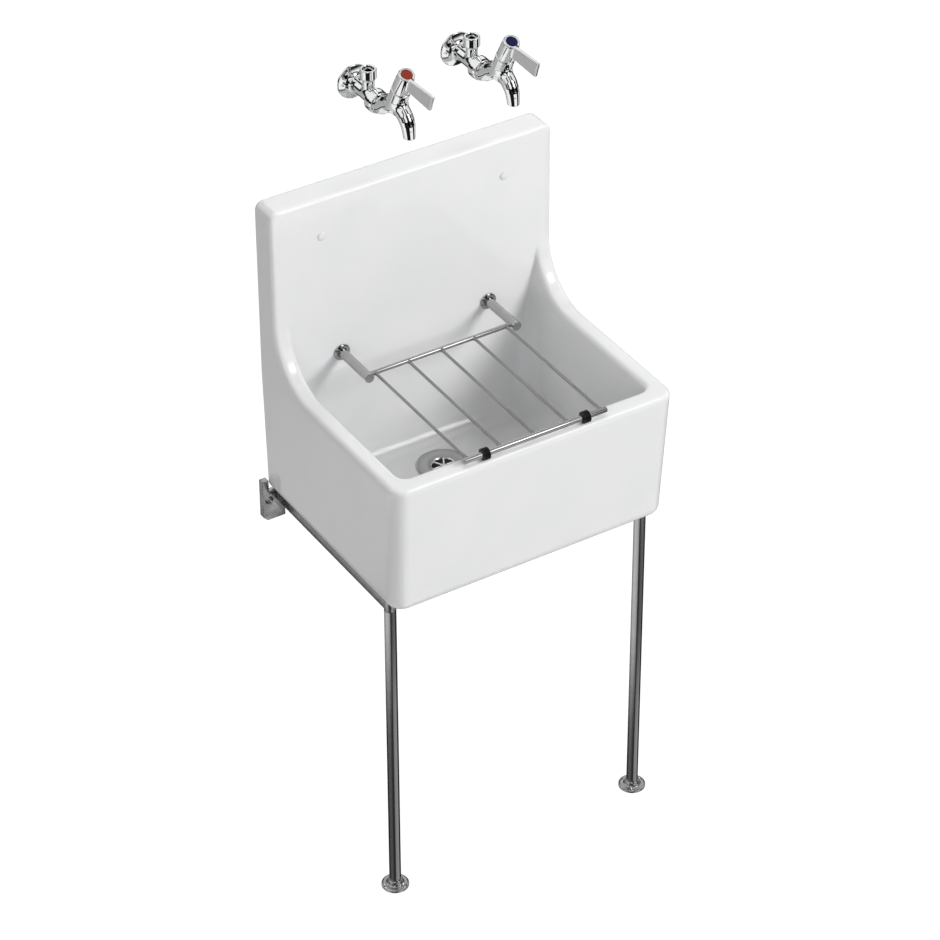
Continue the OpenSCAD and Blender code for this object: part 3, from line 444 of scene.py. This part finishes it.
# Sink
def sink_field(x, y, z):
    u = np.abs(x)
    low = np.clip((-z - BAND_H) / (BOWL_H - BAND_H), 0, 1)
    side = u - HALF_W + (HALF_W - BASE_HALF_W) * low
    front = -y - SINK_D + (SINK_D - SINK_BASE_D) * low
    outline = meet(meet(side, front, CORNER_R), -z - BOWL_H, BASE_ROUND)
    outline = meet(meet(outline, z - UPSTAND_H, TOP_CORNER_R), y, WALL_ROUND)
    rim = join(z + 0 * y, -BACK_T - y + 0 * z, SWEEP_R)
    deep = np.maximum((-z - BAND_H) / (-FLOOR_Z - BOWL_FLOOR_R - BAND_H), 0)
    h_side = u - (HALF_W - SIDE_RIM - SIDE_DRAFT * deep)
    h_front = -y - (SINK_D - FRONT_RIM - FRONT_DRAFT * deep)
    hollow = meet(h_side, h_front, BOWL_CORNER_R + (BOWL_FLOOR_R - BOWL_CORNER_R) * np.minimum(deep, 1))
    ring = meet(rim, -hollow, RIM_ROUND)
    back = -BACK_T - y
    back_r = BOWL_FLOOR_R * 1.15
    fall = np.clip((FILLET_RISE - z) / (FILLET_RISE - FLOOR_Z - back_r), 0, 1)
    walls = join(ring, back, 0.2 + (back_r - 0.2) * fall)
    near_back = np.clip((y + SWEEP_R + BACK_T) / SWEEP_R, 0, 1)
    inner = join(walls, z - FLOOR_Z, BOWL_FLOOR_R + (back_r - BOWL_FLOOR_R) * near_back)
    return meet(outline, inner, RIM_ROUND)


def sink():
    margin = 6
    points, quads = skin(sink_field, (-HALF_W - margin, -SINK_D - margin, -BOWL_H - margin),
                         (HALF_W + margin, margin, UPSTAND_H + margin), 3)
    rebate = lathe(rounded([(0, -60), (27, -60), (27, 0, 1.2), (46.1, 0, 0.8), (46.1, 2, 1.6),
                            (56, 2.6), (56, 8), (0, 8)]), 96)
    tools = [placed(rebate, at(*WASTE, FLOOR_Z - 2))]
    for sign in (-1, 1):
        tools.append(placed(lathe([(0, -4), (4.5, -4), (4.5, 60), (0, 60)], 32),
                            at(sign * CAP_X, 2, CAP_Z, ("X", 90))))
        pocket = [(0, -2), (11.2, -2), (11.2, 14.1), (4.6, 14.1), (4.6, 60), (0, 60)]
        tools.append(placed(lathe(pocket, 48), at(sign * POST_X, 0, GRATE_Z, ("X", 90))))
    piece("sink", cut(mesh_of(points, quads), tools), CERAMIC, "sink_body")


def caps():
    dome = rounded([(3, -8), (3.7, -8, 0.4), (3.7, 0), (7.1, 0, 0.2), (7.5, 0.7, 0.5), (6.2, 1.7, 2),
                    (3.2, 2.45, 4), (0, 2.6)])
    piece("screw_cap_pair", both(placed(lathe(dome, 48), at(CAP_X, -BACK_T, CAP_Z, ("X", 90)))),
          CAP, "screw_caps")


# Waste
def waste():
    flange = rounded([(20, -74), (23.9, -74), (23.9, -0.1), (42.9, -0.1, 0.3), (43, 1.0, 0.8),
                      (41, 2.3, 2), (36, 3.0, 4), (27, 2.7, 3), (22.5, 1.3, 2), (20, -1, 1), (20, -74)])
    piece("waste_flange_dished", placed(lathe(flange, 96), at(*WASTE, FLOOR_Z + 0.1)), STEEL_PLATE,
          "waste_flange")
    hub = rounded([(0, -1.7), (4.2, -1.7, 0.5), (4.5, 0, 0.4), (4.2, 0.9, 0.5), (1.6, 1.3, 0.4), (0, 0.6)])
    ring = rounded([(19.6, -1.7), (20.4, -1.6), (21.6, 0.6, 0.5), (20.5, 0.7, 0.4), (19.4, -0.5, 0.3),
                    (19.6, -1.7)])
    spoke = prism([(2, -1.4), (20.4, -1.7), (20.4, 1.7), (2, 1.4)], 2.4, 0.6, 3)
    spokes = [placed(spoke, at(0, 0, -1.7, ("Z", 60 * k))) for k in range(6)]
    shape = together([lathe(ring, 96), lathe(hub, 32), *spokes])
    piece("waste_strainer", placed(shape, at(*WASTE, FLOOR_Z + 0.1)), STRAINER, "waste_flange")


# Grating
def rod(length, radius, edge=1, n=32):
    """Round bar along z from the origin, its ends rounded."""
    return lathe(rounded([(0, 0), (radius, 0, edge), (radius, length, edge), (0, length)], 4), n)


def grating():
    for name, sign in (("left_post", -1), ("right_post", 1)):
        end = (GRATE_POST_R, 89, 0.9)
        body = lathe(rounded([(0, 0), (GRATE_POST_R, 0), end, (0, 89)], 4), 48)
        tools = [placed(rod(16, 4.05, 0.01, 32), at(sign * POST_X, ROD_Y, GRATE_Z, ("Y", -90 * sign)))]
        post = cut(mesh_of(*placed(body, at(sign * POST_X, -BACK_T, GRATE_Z, ("X", 90)))), tools)
        piece(name + "_turned", post, STEEL_Y, name)
    rose = rounded([(8.15, 0), (14.4, 0, 0.3), (14.5, 2.4, 1.5), (12.6, 3.9, 1.2), (9.2, 4.0, 0.6),
                    (8.15, 3.6), (8.15, 0)])
    piece("rose_pair", both(placed(lathe(rose, 64), at(POST_X, -BACK_T, GRATE_Z, ("X", 90)))), STEEL_Y,
          "roses")
    piece("hinge_rod_turned", placed(rod(274.4, GRATE_ROD_R, 0.5), at(-137.2, ROD_Y, GRATE_Z, ("Y", 90))),
          STEEL_X, "hinge_rod", "grating")
    length = ROD_Y - 1.5 - (RAIL_Y + 2.5)
    bars = []
    for i in range(5):
        x = BAR_SPREAD * (i / 4 - 0.5)
        bars.append(placed(lathe([(0, 0), (BAR_R, 0), (BAR_R, length), (0, length)], 24),
                           at(x, ROD_Y - 1.5, GRATE_Z, ("X", 90))))
        # weld beads at both ends
        for y, turn in ((ROD_Y - 3.7, 90), (RAIL_Y + 4.7, -90)):
            bead = rounded([(2.3, -0.6), (4.1, -0.4, 0.4), (3.4, 0.7, 0.8), (2.5, 1.7), (2.3, -0.6)], 3)
            bars.append(placed(lathe(bead, 24), at(x, y, GRATE_Z, ("X", turn))))
    piece("bar_set", together(bars), BAR_STEEL, "grating_bars", "grating")
    piece("front_rail_turned", placed(rod(262, RAIL_R, 1.1), at(-131, RAIL_Y, GRATE_Z, ("Y", 90))), STEEL_X,
          "front_rail", "grating")
    rib = RING_W / 7
    outer = [(5.15, 0)]
    for i in range(4):
        outer += [(10, 2 * i * rib, 0.5), (10, (2 * i + 1) * rib, 0.5)]
        if i < 3:
            outer += [(8.0, (2 * i + 1) * rib, 0.3), (8.0, (2 * i + 2) * rib, 0.3)]
    outer += [(5.15, RING_W), (5.15, 0)]
    there = at(RING_X - RING_W / 2, RAIL_Y, GRATE_Z, ("Y", 90))
    piece("ring_pair", both(placed(lathe(rounded(outer, 3), 48), there)), RUBBER,
          "rail_rings", "grating")


# Bearers, legs and feet
def supports():
    for side, sign in (("left", -1), ("right", 1)):
        low, top, outer, inner = -300, -221, 270, 229
        plate = prism([(inner, low), (outer - 7.9, low), (outer, low + 7.9), (outer, top), (257.8, top),
                       (257.8, -245), (inner, -245)], PLATE_T, 1.2, 3)
        plate = placed(plate, at(0, 0, 0, ("X", 90)))
        arm = prism([(ARM_IN, LEG_Y), (ARM_OUT, LEG_Y), (ARM_OUT, -1), (ARM_IN, -1)], ARM_H, 1.2, 3)
        arm = placed(arm, at(0, 0, ARM_Z))
        knuckle = lathe(rounded([(0, 0), (LEG_R, 0, 0.8), (LEG_R, ARM_H, 0.8), (0, ARM_H)]), 48)
        knuckle = placed(knuckle, at(LEG_X, LEG_Y, ARM_Z))
        spigot = placed(rod(35, 8.1), at(LEG_X, LEG_Y, -300))
        sink_hole = [(0, -2), (4.25, -2), (4.25, 8.75), (7.5, 12), (9.5, 14), (0, 14)]
        tool = placed(lathe(sink_hole, 40), at(258, 0, -260.5, ("X", 90)))
        shape = together([mirrored(s, sign) for s in (arm, knuckle, spigot)])
        plate = mesh_arrays(cut(mesh_of(*mirrored(plate, sign)), [mirrored(tool, sign)]))
        piece(side + "_bearer_cast", together([plate, shape]), BEARER, side + "_bearer")
        tube = [(LEG_BORE_R, 0), (LEG_R, 0), (LEG_R, LEG_L), (LEG_BORE_R, LEG_L), (LEG_BORE_R, 0)]
        piece(side + "_leg_tube", placed(lathe(tube, 48), at(sign * LEG_X, LEG_Y, FLOOR_LEVEL + 2.5)),
              LEG_STEEL, side + "_leg")
        collar = rounded([(0, 0), (23, 0, 0.4), (23, 3.4, 1.2), (20, 5, 2), (15, 5, 2.2), (12.9, 7.6, 2),
                          (12.5, 12.4, 1), (11.4, 14, 1), (9.9, 14, 0.3), (9.9, 2.5), (0, 2.5)])
        tools = []
        for k in range(3):
            angle = math.radians(120 * k)
            hole = [(0, -2), (2.25, -2), (2.25, 2.7), (4.2, 4.6), (6, 6.5), (0, 6.5)]
            tools.append(placed(lathe(hole, 32), at(18 * math.cos(angle), 18 * math.sin(angle), 0)))
        tools.append(placed(rod(30, 2.65, 0.01, 32), at(0, -6, 8.7, ("X", 90))))
        foot = mesh_arrays(cut(mesh_of(*lathe(collar, 96)), tools))
        piece(side + "_foot_turned", placed(mirrored(foot, sign), at(sign * LEG_X, LEG_Y, FLOOR_LEVEL)),
              FOOT_METAL, side + "_foot")


# Taps, drawn about the inlet axis of one tap
def cone(points, a, b, ra, rb):
    """Distance to a rod from a to b whose radius runs from ra to rb."""
    x, y, z = points
    a, b = np.array(a, float), np.array(b, float)
    way = b - a
    share = ((x - a[0]) * way[0] + (y - a[1]) * way[1] + (z - a[2]) * way[2]) / way.dot(way)
    share = np.clip(share, 0, 1)
    gap = np.sqrt((x - a[0] - share * way[0]) ** 2 + (y - a[1] - share * way[1]) ** 2
                  + (z - a[2] - share * way[2]) ** 2)
    return gap - (ra + share * (rb - ra))


def drum(points, foot, axis, low, high, radius, edge, taper=0.0):
    """Round bar along an axis from a foot, its edges rounded; it thins as the square of the way up."""
    x, y, z = points
    along = (x - foot[0]) * axis[0] + (y - foot[1]) * axis[1] + (z - foot[2]) * axis[2]
    whole = (x - foot[0]) ** 2 + (y - foot[1]) ** 2 + (z - foot[2]) ** 2
    across = np.sqrt(np.maximum(whole - along ** 2, 0))
    return meet(across - radius + taper * np.maximum(along - low, 0) ** 2,
                np.maximum(low - along, along - high), edge)


BARREL_AXIS = (0, -math.sin(LEAN), math.cos(LEAN))
FOOT_POINT = (0, *BARREL_FOOT)
SPOUT_R = 9.75
# Shares of the way out, of the way up or down, and of the spout's radius
RISE = [(0, 0, 1.47), (0.12, 0.05, 1.47), (0.27, 0.26, 1.47), (0.5, 0.66, 1.44), (0.76, 0.93, 1.41),
        (1, 1, 1.4)]
FALL = [(0.22, -0.02, 1.36), (0.42, 0.03, 1.33), (0.58, 0.1, 1.3), (0.72, 0.2, 1.27), (0.84, 0.34, 1.22),
        (0.92, 0.5, 1.16), (0.97, 0.68, 1.09), (1, 0.86, 1.03), (1.015, 1, 1)]
TAIL_Y = -70
BODY_START = -82.4


def body_path():
    """Middle line of the tap's body as (y, z, radius)."""
    run = [(BODY_START + (BARREL_FOOT[0] - BODY_START) * s, BARREL_FOOT[1] * t, SPOUT_R * r)
           for s, t, r in RISE]
    run += [(BARREL_FOOT[0] - SPOUT_OUT * s, BARREL_FOOT[1] - SPOUT_DROP * t, SPOUT_R * r)
            for s, t, r in FALL]
    return run


def tap_body_field(x, y, z):
    p = (x, y, z)
    run = body_path()
    arch = None
    for (y0, z0, r0), (y1, z1, r1) in zip(run[:-1], run[1:]):
        part = cone(p, (0, y0, z0), (0, y1, z1), r0, r1)
        arch = part if arch is None else np.minimum(arch, part)
    # spout: flat mouth with a bore
    end_y, end_z = run[-1][:2]
    arch = meet(arch, end_z - z, 1.2)
    bore = drum(p, (0, end_y, end_z), (0, 0, 1), -4, 14, SPOUT_R - 2.35, 1)
    arch = meet(arch, -bore, 0.8)
    arch = meet(arch, y - BODY_START, 1)
    tail = drum(p, (0, TAIL_Y, 0), (0, -1, 0), 0, 12.6, 14.8, 1)
    barrel = drum(p, FOOT_POINT, BARREL_AXIS, -4, 39, 15.5, 1.2)
    return join(join(arch, tail, 2), barrel, 6)


def elbow_field(x, y, z):
    p = (x, y, z)
    # wall flange, domed from its rim to the pipe
    disc = drum(p, (0, 0, 0), (0, -1, 0), 0, 8, FLANGE_R, 1)
    disc = meet(disc, -y - 6.9 + 0.0046 * (x ** 2 + z ** 2), 1)
    pipe = drum(p, (0, 0, 0), (0, -1, 0), 0, PIPE_END, PIPE_R, 1)
    socket = drum(p, (0, INLET_Y, 0), (0, 0, 1), 28.8, INLET_TOP, 13, 1.3)
    neck = drum(p, (0, INLET_Y, 0), (0, 0, 1), -2, 34, 9.5, 1)
    solid = join(join(disc, pipe, 6.5), join(neck, socket, 4), 4)
    solid = meet(solid, y, 0.3)
    collar = drum(p, (0, 0, 0), (0, -1, 0), 65, 68, 14.8, 0.4)
    return np.minimum(solid, collar)


def lever_field(x, y, z):
    p = (x, y, z)
    hub = drum(p, FOOT_POINT, BARREL_AXIS, HUB_LOW, HUB_LOW + HUB_H, HUB_R, 1.6, HUB_THIN / HUB_H ** 2)
    middle = HUB_LOW + HUB_H * 0.54
    my = FOOT_POINT[1] + middle * BARREL_AXIS[1]
    mz = FOOT_POINT[2] + middle * BARREL_AXIS[2]
    out = -(y - my)
    up = z - mz
    share = np.clip(out / BLADE_REACH, 0, 1)
    thick = np.abs(x) - (BLADE_T / 2 - 1.25 * share)
    tall = np.abs(up) - (BLADE_H / 2 - 4 + 4 * share)
    end = out - BLADE_REACH - up * math.sin(LEAN) * 2 / 2.6
    blade = meet(meet(thick, tall, 1.9), np.maximum(end, 4 - out), 1.9)
    return join(hub, blade, 3.5)


def ring_nut():
    profile = [(12.3, 0), (17, 0, 1), (18.7, 2.2, 2), (19, 7.5, 8), (18.4, 15, 4), (16.9, 19.4, 1.4),
               (15.3, 20, 0.4), (15.1, 3), (12.3, 3), (12.3, 0)]
    return lathe(rounded(profile, 6), 96)


def taps():
    fine = 0.8
    body = skin(tap_body_field, (-18, -192, -20), (18, -66, 66), fine)
    elbow = skin(elbow_field, (-32, -71, -32), (32, 3, 48), fine)
    lever = skin(lever_field, (-18, -246, 40), (18, -128, 112), fine)
    first_hole = 54
    holes = []
    for k in range(3):
        angle = math.radians(first_hole + 120 * k)
        hole = [(0, -3), (2.4, -3), (2.4, 3.1), (4.9, 5.6), (7.2, 7.9), (0, 7.9)]
        holes.append(placed(lathe(hole, 32), at(21 * math.cos(angle), 0, 21 * math.sin(angle), ("X", 90))))
    mouth = lathe(rounded([(0, -45), (7, -45), (7, -15), (9.3, -15), (9.3, -0.8), (11, 1), (0, 1)]), 48)
    water = lathe([(0, 40), (7, 40), (7, 70), (0, 70)], 48)
    holes += [placed(mouth, at(0, INLET_Y, INLET_TOP)), placed(water, at(0, 0, 0, ("X", 90)))]
    elbow = mesh_arrays(cut(mesh_of(*elbow), holes))
    lean = math.degrees(LEAN)
    recess = lathe(rounded([(0, INDEX_FOOT), (9.4, INDEX_FOOT), (9.4, 76.2), (11, 78), (0, 78)]), 64)
    stem = lathe([(0, 30), (11.1, 30), (11.1, 52), (4.2, 52), (4.2, 66), (2.2, 66), (2.2, 73), (4.2, 73),
                  (4.2, 75.5), (0, 75.5)], 48)
    leaning = at(*FOOT_POINT, ("X", lean))
    lever = mesh_arrays(cut(mesh_of(*lever), [placed(s, leaning) for s in (recess, stem)]))
    hollow = lathe([(0, 14), (10.65, 14), (10.65, 45), (0, 45)], 48)
    body = mesh_arrays(cut(mesh_of(*body), [placed(hollow, leaning)]))
    index = lathe(rounded([(0, 0), (9.2, 0, 0.2), (9.2, 1.6, 0.5), (6, 2.1, 4), (0, 2.2)]), 64)
    index = placed(index, leaning @ at(0, 0, INDEX_FOOT))
    nut = placed(ring_nut(), at(0, NUT_Y, 0, ("X", 90)))
    for tap, x, tint in (("hot", HOT_X, RED), ("cold", COLD_X, BLUE)):
        there = at(x, 0, TAP_Z)
        handle = tap + "_handle"
        piece(tap + "_elbow_cast", placed(elbow, there), CHROME, tap + "_elbow")
        piece(tap + "_nut_turned", placed(nut, there), CHROME, tap + "_union_nut")
        piece(tap + "_body_cast", placed(body, there), CHROME, tap + "_body")
        piece(tap + "_lever_cast", placed(lever, there), CHROME, tap + "_lever", handle)
        piece(tap + "_index_disc", placed(index, there), tint, tap + "_index", handle)


def dress_cad():
    """Better materials on the CAD pieces that stay."""
    finishes = {"waste_seal": FOAM, "waste_washer": RUBBER, "waste_backnut": BRASS}
    for node in ("foot_set_screws", "post_studs", "stud_washers", "stud_nuts"):
        finishes[node] = FASTENER
    for tap in ("hot", "cold"):
        finishes.update({tap + "_union_washer": RUBBER, tap + "_headwork": BRASS, tap + "_spindle": BRASS,
                         tap + "_lever_screw": FASTENER})
    for node, material in finishes.items():
        for s in frame["nodes"][node].material_slots:
            s.material = material


# Stage, light and camera
FLOOR_GREY, BACKDROP_WHITE, BACKDROP_SHARE = 0.62, 1.2, 0.8


def stage():
    """Pale floor that the camera sees as white and that keeps the shadow."""
    bm = bmesh.new()
    bmesh.ops.create_grid(bm, x_segments=1, y_segments=1, size=20)
    mesh = bpy.data.meshes.new("floor")
    bm.to_mesh(mesh)
    bm.free()
    floor = bpy.data.objects.new("floor", mesh)
    floor.location = (0, 0, FLOOR_LEVEL * MM)
    bpy.context.collection.objects.link(floor)
    m = bpy.data.materials.new("pale_floor")
    m.use_nodes = True
    tree = m.node_tree
    tree.nodes.clear()
    out = tree.nodes.new("ShaderNodeOutputMaterial")
    diffuse = tree.nodes.new("ShaderNodeBsdfDiffuse")
    diffuse.inputs["Color"].default_value = (FLOOR_GREY, FLOOR_GREY, FLOOR_GREY, 1)
    white = tree.nodes.new("ShaderNodeEmission")
    white.inputs["Strength"].default_value = BACKDROP_WHITE
    ray = tree.nodes.new("ShaderNodeLightPath")
    share = tree.nodes.new("ShaderNodeMath")
    share.operation = "MULTIPLY"
    share.inputs[1].default_value = BACKDROP_SHARE
    tree.links.new(ray.outputs["Is Camera Ray"], share.inputs[0])
    mix = tree.nodes.new("ShaderNodeMixShader")
    tree.links.new(share.outputs[0], mix.inputs["Fac"])
    tree.links.new(diffuse.outputs[0], mix.inputs[1])
    tree.links.new(white.outputs[0], mix.inputs[2])
    under = tree.nodes.new("ShaderNodeMixShader")
    geometry = tree.nodes.new("ShaderNodeNewGeometry")
    clear = tree.nodes.new("ShaderNodeBsdfTransparent")
    tree.links.new(geometry.outputs["Backfacing"], under.inputs["Fac"])
    tree.links.new(mix.outputs[0], under.inputs[1])
    tree.links.new(clear.outputs[0], under.inputs[2])
    tree.links.new(under.outputs[0], out.inputs["Surface"])
    mesh.materials.append(m)
    floor.visible_glossy = False


# White panels and dark gaps of the studio round the object, as (turn from the left, brightness)
LOW_PANELS = [(0.0, 1.0), (0.055, 1.0), (0.066, 0.01), (0.215, 0.01), (0.226, 1.0), (0.35, 1.0), (0.36, 0.01),
              (0.44, 0.01), (0.452, 0.8), (0.56, 0.6), (0.572, 0.02), (0.61, 0.02), (0.622, 0.6), (0.70, 0.46),
              (0.84, 0.42), (0.93, 0.6), (0.958, 1.0)]
HIGH_PANELS = [(0.0, 0.9), (0.05, 0.9), (0.06, 0.02), (0.095, 0.02), (0.105, 1.0), (0.175, 1.0), (0.185, 0.01),
               (0.285, 0.01), (0.295, 1.0), (0.365, 1.0), (0.375, 0.01), (0.43, 0.01), (0.44, 1.0), (0.56, 0.7),
               (0.57, 0.02), (0.61, 0.02), (0.62, 1.0), (0.70, 0.9), (0.725, 0.02), (0.77, 0.02), (0.79, 0.95)]
# What upright tubes mirror: the floor far off and the floor near them, with the slant where each starts
FAR_FLOOR = [(0.0, 1.05), (0.06, 0.9), (0.14, 0.6), (0.17, 0.06), (0.24, 0.06), (0.28, 0.16), (0.42, 0.24),
             (0.45, 0.02), (0.74, 0.02), (0.8, 0.55), (0.94, 1.05)]
NEAR_FLOOR = [(0.0, 0.16), (0.06, 0.14), (0.12, 0.05), (0.2, 0.05), (0.24, 0.42), (0.42, 0.56), (0.45, 0.02),
              (0.86, 0.02), (0.92, 0.14)]
FLOOR_BANDS = [(FAR_FLOOR, -0.592), (NEAR_FLOOR, -0.632), (LOW_PANELS, -0.71)]
HORIZON_GAP, GAP_LEVEL = (0.14, 0.21), 0.02
SIDE_LEVEL, OVERHEAD_LEVEL = 0.43, 0.22
SOFTBOX = Vector((0.42, -0.62, 0.66)).normalized()
SOFTBOX_EDGE, SOFTBOX_CORE, SOFTBOX_GLOW = 11, 5, 5.5


def world():
    """White to the camera, soft light from the sides, and panels that only reflections see."""
    w = bpy.data.worlds.new("studio")
    bpy.context.scene.world = w
    w.use_nodes = True
    tree = w.node_tree
    back = tree.nodes["Background"]
    back.inputs["Color"].default_value = (1, 1, 1, 1)

    def node(kind, *sources, **values):
        n = tree.nodes.new(kind)
        for key, value in values.items():
            setattr(n, key, value)
        for k, source in enumerate(sources):
            if isinstance(source, bpy.types.NodeSocket):
                tree.links.new(source, n.inputs[k])
            elif source is not None:
                n.inputs[k].default_value = source
        return n.outputs[0]

    def ramp(source, stops):
        n = tree.nodes.new("ShaderNodeValToRGB")
        tree.links.new(source, n.inputs["Fac"])
        elements = n.color_ramp.elements
        while len(elements) < len(stops):
            elements.new(0.5)
        for element, (place, _) in zip(elements, stops):
            element.position = place
        for element, (place, level) in zip(elements, stops):
            element.position = place
            element.color = (level, level, level, 1)
        return n.outputs["Color"]

    def between(share, a, b):
        n = tree.nodes.new("ShaderNodeMix")
        for socket, source in ((n.inputs[0], share), (n.inputs[2], a), (n.inputs[3], b)):
            tree.links.new(source, socket)
        return n.outputs[0]

    way = node("ShaderNodeTexCoord")
    parts = tree.nodes.new("ShaderNodeSeparateXYZ")
    tree.links.new(way, parts.inputs[0])
    turn = node("ShaderNodeMath", parts.outputs["Y"], parts.outputs["X"], operation="ARCTAN2")
    turn = node("ShaderNodeMapRange", turn, -math.pi, math.pi, 0.0, 1.0)
    height = node("ShaderNodeMapRange", parts.outputs["Z"], -0.02, 0.02, 0.0, 1.0)
    level_way = node("ShaderNodeMath", parts.outputs["Z"], operation="ABSOLUTE")
    horizon = node("ShaderNodeMapRange", level_way, *HORIZON_GAP, GAP_LEVEL, 1.0)
    ground = ramp(turn, LOW_PANELS)
    for stops, start in FLOOR_BANDS:
        share = node("ShaderNodeMapRange", parts.outputs["Z"], start + 0.008, start - 0.008, 0.0, 1.0)
        ground = between(share, ground, ramp(turn, stops))
    panels = between(height, ground, ramp(turn, HIGH_PANELS))
    facing = tree.nodes.new("ShaderNodeVectorMath")
    facing.operation = "DOT_PRODUCT"
    facing.inputs[1].default_value = SOFTBOX
    tree.links.new(way, facing.inputs[0])
    glow = node("ShaderNodeMapRange", facing.outputs["Value"], math.cos(math.radians(SOFTBOX_EDGE)),
                math.cos(math.radians(SOFTBOX_CORE)), 0.0, SOFTBOX_GLOW)
    mirror = node("ShaderNodeMath", panels, horizon, operation="MULTIPLY")
    mirror = node("ShaderNodeMath", mirror, glow, operation="ADD")
    ray = tree.nodes.new("ShaderNodeLightPath")
    seen = node("ShaderNodeMath", ray.outputs["Is Camera Ray"], ray.outputs["Is Transmission Ray"],
                operation="MAXIMUM")
    # light from overhead is weaker than from the sides
    lift = node("ShaderNodeMath", parts.outputs["Z"], level_way, operation="MULTIPLY")
    dome = node("ShaderNodeMapRange", lift, 0.0, 1.0, SIDE_LEVEL, OVERHEAD_LEVEL)
    level = node("ShaderNodeMath", dome, seen, operation="MAXIMUM")
    strength = tree.nodes.new("ShaderNodeMix")
    tree.links.new(ray.outputs["Is Glossy Ray"], strength.inputs[0])
    tree.links.new(level, strength.inputs[2])
    tree.links.new(mirror, strength.inputs[3])
    tree.links.new(strength.outputs[0], back.inputs["Strength"])


def lamp(name, place, target, size, power):
    """Round soft lamp that reflections don't see."""
    light = bpy.data.lights.new(name, "AREA")
    light.shape = "DISK"
    light.size = size
    light.energy = power
    o = bpy.data.objects.new(name, light)
    o.location = place
    o.rotation_mode = "QUATERNION"
    o.rotation_quaternion = (Vector(target) - Vector(place)).to_track_quat("-Z", "Y")
    o.visible_glossy = False
    bpy.context.collection.objects.link(o)


FOCAL_LENGTH, FRAME_SIZE = 3800, 940


def camera():
    """Camera at the photograph's viewing angle; the focal length is in pixels of its frame."""
    yaw, pitch, roll = math.radians(31.885), math.radians(36.155), math.radians(0.173)
    ahead = Vector((math.sin(yaw) * math.cos(pitch), math.cos(yaw) * math.cos(pitch), -math.sin(pitch)))
    data = bpy.data.cameras.new("camera")
    data.sensor_width = 36
    data.lens = FOCAL_LENGTH / FRAME_SIZE * data.sensor_width
    data.clip_start, data.clip_end = 0.1, 100
    o = bpy.data.objects.new("camera", data)
    o.location = Vector((-2601.65, -4396.90, 3424.38)) * MM
    o.rotation_mode = "QUATERNION"
    o.rotation_quaternion = ahead.to_track_quat("-Z", "Y") @ Matrix.Rotation(-roll, 3, "Z").to_quaternion()
    bpy.context.collection.objects.link(o)
    bpy.context.scene.camera = o


camera()
sink()
caps()
waste()
grating()
supports()
taps()
dress_cad()
stage()
world()
lamp("key", (4.6, -6.0, 4.1), (0, -0.2, 0.1), 3.4, 464)
lamp("top", (0.4, 1.1, 3.2), (0, -0.3, 0), 2.0, 46)
lamp("fill", (-3.5, -3.0, 1.5), (0, -0.2, -0.2), 3.0, 40)
bpy.context.scene.view_settings.view_transform = "Standard"
